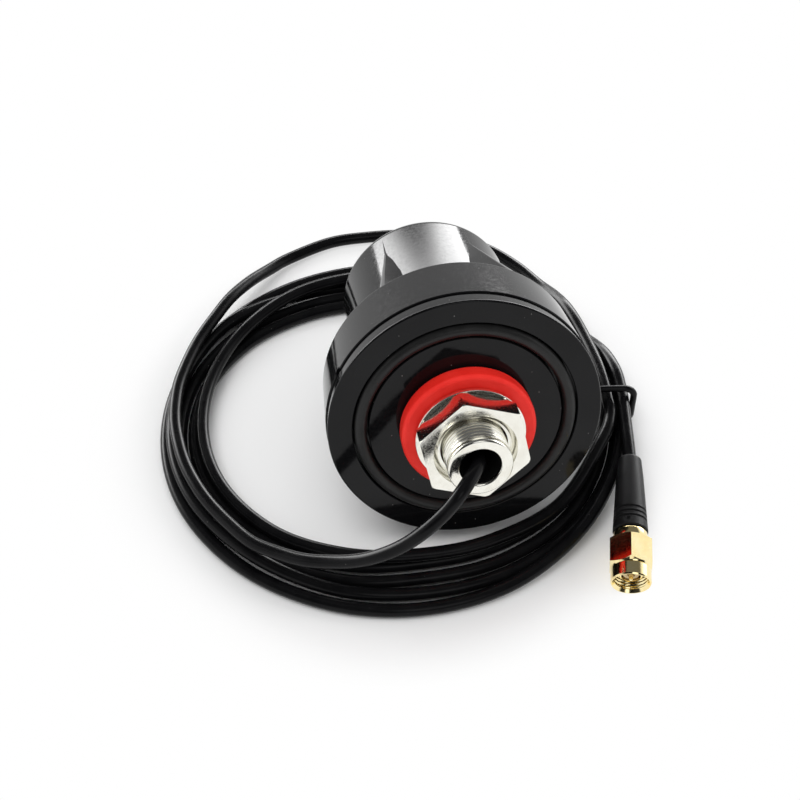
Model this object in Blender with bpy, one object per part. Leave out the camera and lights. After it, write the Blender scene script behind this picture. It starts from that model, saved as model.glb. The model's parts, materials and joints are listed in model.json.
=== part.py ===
"""Stud-mounted mobile-network antenna with a thin coaxial lead, lying on its side in its coiled lead.

The antenna is a round ribbed cover on a base plate. Its hollow threaded stud goes through a panel and
carries the lead. Offsets along the antenna's axis are measured out of the mounting face: positive
towards the stud's end, negative into the cover. The floor is at height 0, and the origin is at the
bottom centre of the antenna without its lead. All sizes are in metres.
"""

import math
from math import cos, pi, radians, sin, tan

import bmesh
import bpy
from mathutils import Matrix, Vector

# Clearance between pieces that touch
GAP = 0.0003

# Base plate
BASE_R = 0.0260
BASE_EDGE_ROUND = 0.0004
BASE_WEB = 0.0030
SPIGOT_DEPTH = 0.0040
SPIGOT_WALL = 0.0032
BOSS_R = 0.0120
BOSS_HEIGHT = 0.0031

# Cover
WALL = 0.0022
MOUTH_WALL = 0.0031
FLANGE_DRAFT = 0.0008
SHOULDER_DEPTH = 0.0162
FLANGE_ROUND = 0.0006
CAP_R = 0.0174
OVERALL_DEPTH = 0.0497
CAP_ROUND = 0.0027
CAP_FILLET = 0.0030
NOTCH_ANGLE = 152.5
NOTCH_SIZE = 0.0016

# Ribs of the cover
RIB_COUNT = 6
RIB_FIRST_ANGLE = 60.7
RIB_TOP_FALL = 0.0089
RIB_TOP_TAPER = 0.00055
RIB_SHOULDER_INSET = 0.0002
RIB_ROOT_HALF = 0.0028
RIB_MIDDLE_HALF = 0.0024
RIB_TOP_HALF = 0.0005
RIB_RIDGE_HALF = 0.00025
RIB_FOOT_HALF = 0.0008

# Rubber rings of the base plate
FACE_SEAL_INSET = 0.00615
FACE_SEAL_CORD = 0.0024
FACE_SEAL_PROUD = 0.00085
COVER_SEAL_CORD = 0.0014
COVER_SEAL_DEPTH = 0.0050
COVER_SEAL_ROOM = 0.0002

# Hollow M12 stud
STUD_R = 0.0060
STUD_LENGTH = 0.0147
STUD_BORE_R = 0.0036
STUD_MOUTH_R = 0.0047
STUD_CHAMFER = 0.0005
STUD_HEX_FLAT = 0.0080

# Gasket, washer and nut on the stud
GASKET_R = 0.0127
GASKET_T = 0.0037
GASKET_ROUND = 0.0013
WASHER_R = 0.0106
WASHER_T = 0.0009
NUT_FLAT = 0.0090
NUT_T = 0.0043
NUT_CORNER_ANGLE = 101.0
NUT_CHAMFER_DEPTH = 0.00046
NUT_REAR_FACE_R = 0.0087
NUT_COUNTERSINK_R = 0.0078
NUT_STEP_R = 0.0069
NUT_COUNTERSINK_DEPTH = 0.0009
NUT_STEP_DEPTH = 0.0016

# Ground plane, its screws and the parts that stand on it
GROUND_T = 0.0008
GROUND_HOLE_R = 0.0045
SCREW_COUNT = 4
SCREW_INSET = 0.0031
SCREW_R = 0.00125
SCREW_LENGTH = 0.0050
SCREW_HEAD_R = 0.0023
SCREW_HEAD_T = 0.0015
SCREW_SLOT = 0.0005
SCREW_POST_R = 0.0029
BOARD_SIDE_ROOM = 0.0022
BOARD_TOP_ROOM = 0.0017
BOARD_T = 0.0010
BOARD_TAB_INSET = 0.0040
BOARD_TAB_W = 0.0040
BOARD_ARCH_HALF = 0.0062
BOARD_ARCH_DEPTH = 0.0155
RADIATOR_W = 0.0080
RADIATOR_T = 0.0005
RADIATOR_START_DEPTH = 0.0166
FERRULE_FLANGE_R = 0.0055
FERRULE_FLANGE_T = 0.0008
FERRULE_WALL = 0.00075
FERRULE_LENGTH = 0.0055
FEED_D = 0.0009

# Coaxial cable
CABLE_D = 0.0027
GROMMET_LENGTH = 0.0050
CABLE_SPLIT = 0.0060
CABLE_TOP_DEPTH = 0.0133

# Coil of the lead, seen from above: a round outside and an oval inside, one turned ring
COIL_CENTRE = (-0.0104, 0.0067)
COIL_R = 0.0483
COIL_HOLE_CENTRE = (-0.0078, 0.0074)
COIL_HOLE_RX = 0.0400
COIL_HOLE_RY = 0.0350
COIL_HEIGHT = 0.0050
COIL_ROUND = 0.00135
COIL_STATIONS = 48

# Tie around the coil and the two strands that lie on it
TIE_ANGLE = -7.0
TIE_SPAN = 25.0
TIE_T = 0.0010
TIE_BAND = 0.0016
TIE_OPENING_W = 0.0076
TIE_CENTRE_R = 0.0458
TIE_ROUND = 0.0012

# Connector at the lead's far end: its nose, and the way that its axis runs back to the cable
CONNECTOR_NOSE = (0.0280, -0.0430, 0.0048)
CONNECTOR_HEADING = 76.6
CONNECTOR_RISE = 5.2
COUPLING_R = 0.0039
COUPLING_FLAT = 0.0040
COUPLING_ROUND_LENGTH = 0.0030
COUPLING_LENGTH = 0.0091
COUPLING_THREAD_R = 0.00315
COUPLING_THREAD_LENGTH = 0.0048
COUPLING_CORNER_ANGLE = 85.0
COUPLING_LEAD_IN = 0.0001
CLIP_DEPTH = 0.0073
CLIP_T = 0.0005
CLIP_R = 0.0032
CLIP_WALL = 0.00075
CLIP_SLIT = 0.0008
CLIP_PLAY = 0.00017
BODY_R = 0.00275
BODY_FACE_DEPTH = 0.0053
SLEEVE_R = 0.00225
SLEEVE_DEPTH = 0.0016
BODY_BORE_R = 0.00185
BODY_BORE_END = 0.0101
NECK_R = 0.0033
NECK_LENGTH = 0.0016
STUB_R = 0.00135
STUB_LENGTH = 0.0022
PIN_R = 0.00045
PIN_DEPTH = 0.0007
PIN_TIP = 0.0006
DIELECTRIC_HOLE_R = 0.00075
JOINT_GASKET_R = 0.0029
JOINT_GASKET_WALL = 0.0004
JOINT_GASKET_T = 0.0008
CRIMP_WALL = 0.00055
CRIMP_LENGTH = 0.0065

# Moulded boot behind the connector
BOOT_LENGTH = 0.0172
BOOT_R = 0.00345
BOOT_MID_R = 0.00275
BOOT_END_R = 0.00240
BOOT_END_ROUND = 0.0005
BOOT_MID_FROM_END = 0.0047
BOOT_GROOVE_COUNT = 3
BOOT_GROOVE_PITCH = 0.0011
BOOT_GROOVE_FIRST = 0.0022
BOOT_GROOVE_W = 0.0004
BOOT_GROOVE_DEPTH = 0.00025

# Sides of round pieces
SIDES_LARGE = 72
SIDES_SMALL = 24
SIDES_FINE = 12
FACE_SEAL_SIDES = 10
COVER_SEAL_SIDES = 6
CHAMFER_ANGLE = 30.0
CURVE_STEPS = 16

# The lead's free route, chosen by hand: down from the stud, round the coil and through the tie
LEAD_ROUTE = [
    (-0.0004, -0.0317, 0.0315), (-0.0042, -0.0367, 0.0310), (-0.0073, -0.0384, 0.0280),
    (-0.0112, -0.0394, 0.0245), (-0.0153, -0.0392, 0.0205), (-0.0196, -0.0382, 0.0170),
    (-0.0238, -0.0365, 0.0140), (-0.0285, -0.0341, 0.0115), (-0.0330, -0.0317, 0.0098),
    (-0.0374, -0.0284, 0.0084), (-0.0421, -0.0244, 0.0074), (-0.0461, -0.0189, 0.0069),
    (-0.0498, -0.0127, 0.0067), (-0.0522, -0.0072, 0.0067), (-0.0539, -0.0015, 0.0067),
    (-0.0548, 0.0043, 0.0067), (-0.0551, 0.0098, 0.0067), (-0.0546, 0.0153, 0.0067),
    (-0.0535, 0.0206, 0.0067), (-0.0510, 0.0273, 0.0067), (-0.0483, 0.0330, 0.0067),
    (-0.0449, 0.0385, 0.0067), (-0.0410, 0.0446, 0.0063), (-0.0363, 0.0509, 0.0047),
    (-0.0313, 0.0564, 0.0028), (-0.0263, 0.0604, 0.0019), (-0.0164, 0.0647, 0.0015),
    (-0.0070, 0.0654, 0.0014), (0.0026, 0.0646, 0.0014), (0.0118, 0.0621, 0.0014),
    (0.0195, 0.0570, 0.0014), (0.0250, 0.0502, 0.0016), (0.0288, 0.0424, 0.0024),
    (0.0310, 0.0365, 0.0042), (0.0322, 0.0309, 0.0060), (0.0330, 0.0261, 0.0068),
    (0.0336, 0.0217, 0.0070), (0.0342, 0.0151, 0.0075), (0.0345, 0.0099, 0.0078),
    (0.0344, 0.0047, 0.0080), (0.0341, 0.0006, 0.0079), (0.0336, -0.0035, 0.0077),
]

# The lead's last stretch, from beside the tie to the boot
TAIL_ROUTE = [
    (0.0376, 0.0090, 0.0080), (0.0375, 0.0040, 0.0080), (0.0371, 0.0002, 0.0079),
    (0.0365, -0.0037, 0.0078), (0.0359, -0.0075, 0.0077), (0.0353, -0.0113, 0.0076),
]

# Offsets that follow from the sizes above
COVER_OPEN_S = -(BASE_WEB + GAP)
COVER_INNER_R = BASE_R - MOUTH_WALL
FLANGE_TOP_R = BASE_R - FLANGE_DRAFT
FACE_SEAL_R = BASE_R - FACE_SEAL_INSET
RIB_TOP_DEPTH = OVERALL_DEPTH - RIB_TOP_FALL
GROUND_R = COVER_INNER_R - GAP - SPIGOT_WALL - GAP
SCREW_RING_R = GROUND_R - SCREW_INSET
BOARD_HALF = CAP_R - WALL - BOARD_SIDE_ROOM
BOARD_TAB_X = BOARD_HALF - BOARD_TAB_INSET
BOARD_TOP_DEPTH = OVERALL_DEPTH - WALL - BOARD_TOP_ROOM
BOSS_TOP_S = -(BASE_WEB + BOSS_HEIGHT)
GROUND_FRONT_S = BOSS_TOP_S - GAP
GROUND_BACK_S = GROUND_FRONT_S - GROUND_T
BOARD_FOOT_S = GROUND_BACK_S - GAP
WASHER_S = GAP + GASKET_T + GAP
NUT_S = WASHER_S + WASHER_T + GAP
CABLE_R = CABLE_D / 2
CABLE_HOLE_R = CABLE_R + GAP
TIE_LIFT = TIE_T + GAP
NECK_DEPTH = COUPLING_LENGTH + GAP
BOOT_DEPTH = NECK_DEPTH + NECK_LENGTH + GAP
BOOT_END_DEPTH = BOOT_DEPTH + BOOT_LENGTH
TAIL_END_DEPTH = BOOT_DEPTH - GAP + STUB_LENGTH + GAP


def clear_scene():
    for old in list(bpy.data.objects):
        bpy.data.objects.remove(old, do_unlink=True)


def material(name, colour, roughness, metallic=0.0):
    made = bpy.data.materials.new(name)
    made.use_nodes = True
    shader = made.node_tree.nodes["Principled BSDF"]
    shader.inputs["Base Color"].default_value = (*colour, 1.0)
    shader.inputs["Roughness"].default_value = roughness
    shader.inputs["Metallic"].default_value = metallic
    return made


def axis_frame(name, location, direction):
    """Empty whose local Z runs along the direction, with its local X kept level."""
    frame = bpy.data.objects.new(name, None)
    bpy.context.collection.objects.link(frame)
    frame.location = location
    along = Vector(direction).normalized()
    level = Vector((0.0, 0.0, 1.0)).cross(along).normalized()
    across = along.cross(level)
    rows = [(level[i], across[i], along[i]) for i in range(3)]
    frame.rotation_euler = Matrix(rows).to_euler()
    return frame


def add_object(name, data, parent=None, look=None):
    made = bpy.data.objects.new(name, data)
    bpy.context.collection.objects.link(made)
    made.parent = parent
    if look is not None:
        data.materials.append(look)
    return made


def finish_mesh(bm, name, smooth_angle=35.0):
    bmesh.ops.recalc_face_normals(bm, faces=bm.faces)
    mesh = bpy.data.meshes.new(name)
    bm.to_mesh(mesh)
    bm.free()
    mesh.shade_smooth()
    mesh.set_sharp_from_angle(angle=radians(smooth_angle))
    return mesh


def hexagon(flat, limit=None):
    """Radius of a hexagon with a corner at angle 0, cut back to the limit at its corners."""
    def radius(angle):
        from_corner = (angle + pi / 6) % (pi / 3) - pi / 6
        reach = flat / cos(pi / 6 - abs(from_corner))
        return reach if limit is None else min(reach, limit)
    return radius


def arc(centre_r, centre_s, radius, start, end, steps):
    """Points of a round in a profile, its angles in degrees from +r towards +s."""
    points = []
    for step in range(steps + 1):
        angle = radians(start + (end - start) * step / steps)
        points.append((centre_r + radius * cos(angle), centre_s + radius * sin(angle)))
    return points


def turned_mesh(name, profile, sides, start_angle=0.0):
    """Closed solid turned about local Z from a closed profile of (radius, offset) points.

    A radius may be a function of the angle, which gives flats and hexagons.
    """
    bm = bmesh.new()
    rings = []
    for radius, offset in profile:
        if not callable(radius) and radius == 0.0:
            rings.append([bm.verts.new((0.0, 0.0, offset))])
            continue
        ring = []
        for side in range(sides):
            angle = radians(start_angle) + 2 * pi * side / sides
            reach = radius(angle) if callable(radius) else radius
            ring.append(bm.verts.new((reach * cos(angle), reach * sin(angle), offset)))
        rings.append(ring)
    for low, high in zip(rings, rings[1:] + rings[:1]):
        if len(low) == 1 and len(high) == 1:
            continue
        for side in range(sides):
            following = (side + 1) % sides
            if len(low) == 1:
                bm.faces.new((low[0], high[following], high[side]))
            elif len(high) == 1:
                bm.faces.new((low[side], low[following], high[0]))
            else:
                bm.faces.new((low[side], low[following], high[following], high[side]))
    return finish_mesh(bm, name)


def turned(name, profile, sides, parent, look=None, start_angle=0.0):
    return add_object(name, turned_mesh(name, profile, sides, start_angle), parent, look)


def ring_profile(ring_r, cord, offset, steps):
    """Round section of a rubber ring."""
    return arc(ring_r, offset, cord / 2, 0.0, 360.0, steps)[:-1]


def add_box(bm, low, high):
    """Closed box between two corners."""
    corners = []
    for z in (low[2], high[2]):
        for x, y in ((low[0], low[1]), (high[0], low[1]), (high[0], high[1]), (low[0], high[1])):
            corners.append(bm.verts.new((x, y, z)))
    bm.faces.new(corners[3::-1])
    bm.faces.new(corners[4:])
    for side in range(4):
        following = (side + 1) % 4
        bm.faces.new((corners[side], corners[following], corners[4 + following], corners[4 + side]))


def loft(bm, sections, closed=False):
    """Skin over sections of equally many points, capped at both ends unless they close a loop."""
    rows = [[bm.verts.new(point) for point in section] for section in sections]
    count = len(rows[0])
    followers = rows[1:] + rows[:1] if closed else rows[1:]
    for row, following_row in zip(rows, followers):
        for i in range(count):
            j = (i + 1) % count
            bm.faces.new((row[i], row[j], following_row[j], following_row[i]))
    if not closed:
        bm.faces.new(rows[0][::-1])
        bm.faces.new(rows[-1])


def guide(name, bm, parent):
    """Solid that only cuts or joins another one, and isn't a piece itself."""
    made = add_object(name, finish_mesh(bm, name), parent)
    make_guide(made)
    return made


def make_guide(made):
    made.hide_render = True
    made.display_type = "WIRE"


def combine(target, other, operation):
    modifier = target.modifiers.new(operation.title() + "." + other.name, "BOOLEAN")
    modifier.operation = operation
    modifier.solver = "EXACT"
    modifier.object = other


def around(angle, radius):
    return radius * cos(radians(angle)), radius * sin(radians(angle))


def tilt_on_floor():
    """Tilt of the axis from level when the flange's edge and the cap's rim both touch the floor."""
    flange = (FLANGE_TOP_R - FLANGE_ROUND, SHOULDER_DEPTH - FLANGE_ROUND)
    cap = (CAP_R - CAP_ROUND, OVERALL_DEPTH - CAP_ROUND)
    drop = flange[0] - cap[0]
    run = cap[1] - flange[1]
    return math.atan2(drop, run) - math.asin((CAP_ROUND - FLANGE_ROUND) / math.hypot(drop, run))


def face_centre(tilt):
    """Centre of the mounting face, which puts the origin at the antenna's bottom centre."""
    flange_r = FLANGE_TOP_R - FLANGE_ROUND
    flange_s = SHOULDER_DEPTH - FLANGE_ROUND
    height = flange_r * cos(tilt) + flange_s * sin(tilt) + FLANGE_ROUND
    stud_rim_r = STUD_R - STUD_CHAMFER
    front = STUD_LENGTH * cos(tilt) + stud_rim_r * sin(tilt)
    cap_r = CAP_R - CAP_ROUND
    back = (OVERALL_DEPTH - CAP_ROUND) * cos(tilt) + cap_r * sin(tilt) + CAP_ROUND
    return 0.0, (front - back) / 2, height


def make_base_plate(axis, look):
    groove_in = FACE_SEAL_R - FACE_SEAL_CORD / 2 - GAP
    groove_out = FACE_SEAL_R + FACE_SEAL_CORD / 2 + GAP
    groove_s = -(FACE_SEAL_CORD - FACE_SEAL_PROUD + GAP)
    spigot_r = COVER_INNER_R - GAP
    seal_half = COVER_SEAL_CORD / 2 + COVER_SEAL_ROOM
    seal_floor_r = COVER_INNER_R - GAP - COVER_SEAL_CORD - GAP
    spigot_top_s = -(BASE_WEB + SPIGOT_DEPTH)
    pocket = hexagon(STUD_HEX_FLAT + GAP)
    profile = [
        (STUD_R + GAP, 0.0), (groove_in, 0.0), (groove_in, groove_s), (groove_out, groove_s),
        (groove_out, 0.0),
        *arc(BASE_R - BASE_EDGE_ROUND, -BASE_EDGE_ROUND, BASE_EDGE_ROUND, 90.0, 0.0, 2),
        (BASE_R, -BASE_WEB), (spigot_r, -BASE_WEB),
        (spigot_r, seal_half - COVER_SEAL_DEPTH), (seal_floor_r, seal_half - COVER_SEAL_DEPTH),
        (seal_floor_r, -seal_half - COVER_SEAL_DEPTH), (spigot_r, -seal_half - COVER_SEAL_DEPTH),
        (spigot_r, spigot_top_s), (spigot_r - SPIGOT_WALL, spigot_top_s),
        (spigot_r - SPIGOT_WALL, -BASE_WEB), (BOSS_R, -BASE_WEB), (BOSS_R, BOSS_TOP_S),
        (pocket, BOSS_TOP_S), (pocket, -BASE_WEB), (STUD_R + GAP, -BASE_WEB),
    ]
    plate = turned("base_plate", profile, SIDES_LARGE, axis, look)

    posts = bmesh.new()
    pilots = bmesh.new()
    pilot_floor_s = BOARD_FOOT_S + SCREW_LENGTH + GAP
    for screw in range(SCREW_COUNT):
        x, y = around(screw_angle(screw), SCREW_RING_R)
        add_cylinder(posts, (x, y), SCREW_POST_R, BOSS_TOP_S, -BASE_WEB / 2)
        add_cylinder(pilots, (x, y), SCREW_R + GAP, BOSS_TOP_S - GAP, pilot_floor_s)
    combine(plate, guide("base_posts", posts, axis), "UNION")
    combine(plate, guide("base_pilots", pilots, axis), "DIFFERENCE")


def screw_angle(screw):
    return 45.0 + 360.0 * screw / SCREW_COUNT


def add_cylinder(bm, centre, radius, low, high, sides=SIDES_FINE):
    sections = []
    for z in (low, high):
        section = []
        for side in range(sides):
            angle = 2 * pi * side / sides
            section.append((centre[0] + radius * cos(angle), centre[1] + radius * sin(angle), z))
        sections.append(section)
    loft(bm, sections)


def make_cover(axis, look):
    inner_shoulder_s = WALL - SHOULDER_DEPTH
    cap_inner_r = CAP_R - WALL
    profile = [
        (COVER_INNER_R, COVER_OPEN_S), (BASE_R, COVER_OPEN_S),
        *arc(FLANGE_TOP_R - FLANGE_ROUND, FLANGE_ROUND - SHOULDER_DEPTH, FLANGE_ROUND, 0.0, -90.0, 3),
        *arc(CAP_R + CAP_FILLET, -SHOULDER_DEPTH - CAP_FILLET, CAP_FILLET, 90.0, 180.0, 4),
        *arc(CAP_R - CAP_ROUND, CAP_ROUND - OVERALL_DEPTH, CAP_ROUND, 0.0, -90.0, 5),
        (0.0, -OVERALL_DEPTH), (0.0, WALL - OVERALL_DEPTH),
        (cap_inner_r, WALL - OVERALL_DEPTH), (cap_inner_r, inner_shoulder_s),
        (COVER_INNER_R, inner_shoulder_s),
    ]
    cover = turned("radome_cover", profile, SIDES_LARGE, axis, look)

    ribs = bmesh.new()
    for rib in range(RIB_COUNT):
        add_rib(ribs, radians(RIB_FIRST_ANGLE + 360.0 * rib / RIB_COUNT))
    combine(cover, guide("cover_ribs", ribs, axis), "UNION")

    notch = bmesh.new()
    add_box(
        notch,
        (BASE_R - NOTCH_SIZE / 2, -NOTCH_SIZE / 2, COVER_OPEN_S - NOTCH_SIZE / 2),
        (BASE_R + NOTCH_SIZE, NOTCH_SIZE / 2, COVER_OPEN_S + NOTCH_SIZE),
    )
    notch_guide = guide("cover_notch", notch, axis)
    notch_guide.rotation_euler = (0.0, 0.0, radians(NOTCH_ANGLE))
    combine(cover, notch_guide, "DIFFERENCE")


def add_rib(bm, angle):
    """Buttress of triangular section whose ridge falls from the cap's wall to the flange's edge."""
    foot_r = FLANGE_TOP_R - RIB_SHOULDER_INSET
    slope = (foot_r - CAP_R) / (RIB_TOP_DEPTH - SHOULDER_DEPTH)
    root_r = CAP_R - WALL / 2
    stations = (
        (RIB_TOP_DEPTH + RIB_TOP_TAPER, RIB_TOP_HALF, RIB_RIDGE_HALF),
        ((2 * RIB_TOP_DEPTH + SHOULDER_DEPTH) / 3, RIB_MIDDLE_HALF, RIB_RIDGE_HALF),
        (SHOULDER_DEPTH, RIB_ROOT_HALF, RIB_FOOT_HALF),
        (SHOULDER_DEPTH - WALL / 2, RIB_ROOT_HALF, RIB_FOOT_HALF),
    )
    sections = []
    for depth, root_half, ridge_half in stations:
        ridge_r = min(CAP_R + slope * (RIB_TOP_DEPTH - depth), foot_r)
        section = []
        for reach, aside in (
            (root_r, -root_half), (ridge_r, -ridge_half), (ridge_r, ridge_half), (root_r, root_half)
        ):
            x = reach * cos(angle) - aside * sin(angle)
            y = reach * sin(angle) + aside * cos(angle)
            section.append((x, y, -depth))
        sections.append(section)
    loft(bm, sections)


def make_seals(axis, look):
    face_s = FACE_SEAL_PROUD - FACE_SEAL_CORD / 2
    face_ring = ring_profile(FACE_SEAL_R, FACE_SEAL_CORD, face_s, FACE_SEAL_SIDES)
    turned("face_seal_ring", face_ring, SIDES_LARGE, axis, look)
    seal_r = COVER_INNER_R - GAP - COVER_SEAL_CORD / 2
    cover_ring = ring_profile(seal_r, COVER_SEAL_CORD, -COVER_SEAL_DEPTH, COVER_SEAL_SIDES)
    turned("cover_seal_ring", cover_ring, SIDES_LARGE, axis, look)


def make_stud(axis, look):
    head = hexagon(STUD_HEX_FLAT)
    profile = [
        (STUD_BORE_R, BOSS_TOP_S), (head, BOSS_TOP_S), (head, COVER_OPEN_S), (STUD_R, COVER_OPEN_S),
        (STUD_R, STUD_LENGTH - STUD_CHAMFER), (STUD_R - STUD_CHAMFER, STUD_LENGTH),
        (STUD_MOUTH_R, STUD_LENGTH), (STUD_BORE_R, STUD_LENGTH - (STUD_MOUTH_R - STUD_BORE_R)),
    ]
    turned("threaded_stud", profile, SIDES_SMALL, axis, look)


def make_fasteners(axis, red, metal):
    hole_r = STUD_R + GAP
    gasket_s = GAP
    turned("mount_gasket", [
        (hole_r, gasket_s),
        *arc(GASKET_R - GASKET_ROUND, gasket_s + GASKET_ROUND, GASKET_ROUND, -90.0, 0.0, 3),
        *arc(GASKET_R - GASKET_ROUND, gasket_s + GASKET_T - GASKET_ROUND, GASKET_ROUND, 0.0, 90.0, 3),
        (hole_r, gasket_s + GASKET_T),
    ], SIDES_LARGE, axis, red)

    turned("flat_washer", [
        (hole_r, WASHER_S), (WASHER_R, WASHER_S), (WASHER_R, WASHER_S + WASHER_T),
        (hole_r, WASHER_S + WASHER_T),
    ], SIDES_LARGE, axis, metal)

    top_s = NUT_S + NUT_T
    hexagonal = hexagon(NUT_FLAT)
    turned("mount_nut", [
        (hole_r, NUT_S), (NUT_REAR_FACE_R, NUT_S), (hexagonal, NUT_S + NUT_CHAMFER_DEPTH),
        (hexagonal, top_s), (NUT_COUNTERSINK_R, top_s), (NUT_STEP_R, top_s - NUT_COUNTERSINK_DEPTH),
        (NUT_STEP_R, top_s - NUT_STEP_DEPTH), (hole_r, top_s - NUT_STEP_DEPTH),
    ], SIDES_LARGE, axis, metal).rotation_euler = (0.0, 0.0, radians(NUT_CORNER_ANGLE))


def make_ground_plane(axis, look):
    plane = turned("ground_plane", [
        (GROUND_HOLE_R, GROUND_BACK_S), (GROUND_R, GROUND_BACK_S),
        (GROUND_R, GROUND_FRONT_S), (GROUND_HOLE_R, GROUND_FRONT_S),
    ], SIDES_LARGE, axis, look)
    holes = bmesh.new()
    low = GROUND_BACK_S - GROUND_T
    high = GROUND_FRONT_S + GROUND_T
    for screw in range(SCREW_COUNT):
        add_cylinder(holes, around(screw_angle(screw), SCREW_RING_R), SCREW_R + GAP, low, high)
    for side in (-1, 1):
        middle = side * BOARD_TAB_X
        half_w = BOARD_TAB_W / 2 + GAP
        half_t = BOARD_T / 2 + GAP
        add_box(holes, (middle - half_w, -half_t, low), (middle + half_w, half_t, high))
    combine(plane, guide("ground_holes", holes, axis), "DIFFERENCE")


def make_screws(axis, look):
    slot = bmesh.new()
    head_top_s = -SCREW_HEAD_T
    add_box(slot, (-2 * SCREW_HEAD_R, -SCREW_SLOT / 2, head_top_s - SCREW_SLOT),
            (2 * SCREW_HEAD_R, SCREW_SLOT / 2, head_top_s + SCREW_SLOT))
    for screw in range(SCREW_COUNT):
        x, y = around(screw_angle(screw), SCREW_RING_R)
        made = turned("ground_screw_%d" % (screw + 1), [
            (0.0, head_top_s), (SCREW_HEAD_R, head_top_s), (SCREW_HEAD_R, 0.0), (SCREW_R, 0.0),
            (SCREW_R, SCREW_LENGTH), (0.0, SCREW_LENGTH),
        ], SIDES_FINE, axis, look)
        made.location = (x, y, BOARD_FOOT_S)
        cutter = guide("screw_slot_%d" % (screw + 1), slot.copy(), axis)
        cutter.location = made.location
        combine(made, cutter, "DIFFERENCE")
    slot.free()


def make_board(axis, look):
    """Upright board with an arch over the cable ferrule and two tabs in the ground plane."""
    tab_in = BOARD_TAB_X - BOARD_TAB_W / 2
    tab_out = BOARD_TAB_X + BOARD_TAB_W / 2
    tab_s = GROUND_FRONT_S
    right = [
        (BOARD_ARCH_HALF, -BOARD_ARCH_DEPTH), (BOARD_ARCH_HALF, BOARD_FOOT_S), (tab_in, BOARD_FOOT_S),
        (tab_in, tab_s), (tab_out, tab_s), (tab_out, BOARD_FOOT_S), (BOARD_HALF, BOARD_FOOT_S),
        (BOARD_HALF, -BOARD_TOP_DEPTH),
    ]
    outline = right + [(-x, s) for x, s in reversed(right)]
    bm = bmesh.new()
    loft(bm, [[(x, y, s) for x, s in outline] for y in (-BOARD_T / 2, BOARD_T / 2)])
    add_object("antenna_board", finish_mesh(bm, "antenna_board"), axis, look)


def make_radiator(axis, look):
    """Sheet-metal strip along the board, folded from the round hat on its top."""
    near = BOARD_T / 2 + GAP
    far = near + RADIATOR_T
    hat_front_s = -BOARD_TOP_DEPTH - GAP
    hat_back_s = hat_front_s - RADIATOR_T
    hat = turned("radiator", [
        (0.0, hat_back_s), (BOARD_HALF, hat_back_s), (BOARD_HALF, hat_front_s),
        (0.0, hat_front_s),
    ], SIDES_SMALL, axis, look)
    strip = bmesh.new()
    add_box(strip, (-RADIATOR_W / 2, near, hat_front_s - RADIATOR_T / 2),
            (RADIATOR_W / 2, far, -RADIATOR_START_DEPTH))
    combine(hat, guide("radiator_strip", strip, axis), "UNION")


def make_cable_fittings(axis, brass, rubber):
    flange_s = BOARD_FOOT_S
    tube_r = CABLE_HOLE_R + FERRULE_WALL
    turned("cable_ferrule", [
        (CABLE_HOLE_R, flange_s), (FERRULE_FLANGE_R, flange_s),
        (FERRULE_FLANGE_R, flange_s - FERRULE_FLANGE_T), (tube_r, flange_s - FERRULE_FLANGE_T),
        (tube_r, flange_s - FERRULE_LENGTH), (CABLE_HOLE_R, flange_s - FERRULE_LENGTH),
    ], SIDES_SMALL, axis, brass)
    turned("cable_grommet", [
        (CABLE_HOLE_R, 0.0), (STUD_BORE_R - GAP, 0.0), (STUD_BORE_R - GAP, GROMMET_LENGTH),
        (CABLE_HOLE_R, GROMMET_LENGTH),
    ], SIDES_SMALL, axis, rubber)


def catmull(points, spacing):
    """Points every spacing along a smooth curve through the given ones, both ends kept."""
    knots = [Vector(point) for point in points]
    before = knots[0] * 2 - knots[1]
    after = knots[-1] * 2 - knots[-2]
    padded = [before, *knots, after]
    dense = []
    for i in range(1, len(padded) - 2):
        p0, p1, p2, p3 = padded[i - 1:i + 3]
        for step in range(CURVE_STEPS):
            t = step / CURVE_STEPS
            dense.append(0.5 * (2 * p1 + (p2 - p0) * t + (2 * p0 - 5 * p1 + 4 * p2 - p3) * t ** 2
                                + (3 * p1 - p0 - 3 * p2 + p3) * t ** 3))
    dense.append(knots[-1])
    lengths = [0.0]
    for start, end in zip(dense, dense[1:]):
        lengths.append(lengths[-1] + (end - start).length)
    count = max(2, round(lengths[-1] / spacing) + 1)
    even = []
    segment = 0
    for k in range(count):
        wanted = lengths[-1] * k / (count - 1)
        while segment < len(dense) - 2 and lengths[segment + 1] < wanted:
            segment += 1
        share = (wanted - lengths[segment]) / (lengths[segment + 1] - lengths[segment])
        even.append(dense[segment].lerp(dense[segment + 1], share))
    return even


def tube(name, points, diameter, look, parent=None, spacing_diameters=2.5):
    """Round cord along a smooth curve through the points."""
    curve = bpy.data.curves.new(name, "CURVE")
    curve.dimensions = "3D"
    curve.bevel_depth = diameter / 2
    curve.bevel_resolution = 2
    curve.use_fill_caps = True
    path = catmull(points, spacing_diameters * diameter)
    spline = curve.splines.new("POLY")
    spline.points.add(len(path) - 1)
    for slot, point in zip(spline.points, path):
        slot.co = (*point, 1.0)
    return add_object(name, curve, parent, look)


def make_inner_cable(axis, black, copper):
    tube("cable_inside", [(0.0, 0.0, -CABLE_TOP_DEPTH), (0.0, 0.0, CABLE_SPLIT)], CABLE_D, black, axis)
    strip_middle = BOARD_T / 2 + GAP + RADIATOR_T / 2
    start = CABLE_TOP_DEPTH + GAP
    end = RADIATOR_START_DEPTH - GAP
    feed = []
    for share in (0.0, 0.2, 0.5, 0.8, 1.0):
        aside = strip_middle * share ** 2 * (3 - 2 * share)
        feed.append((0.0, aside, -(start + (end - start) * share)))
    tube("feed_wire", feed, FEED_D, copper, axis, spacing_diameters=0.7)


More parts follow.
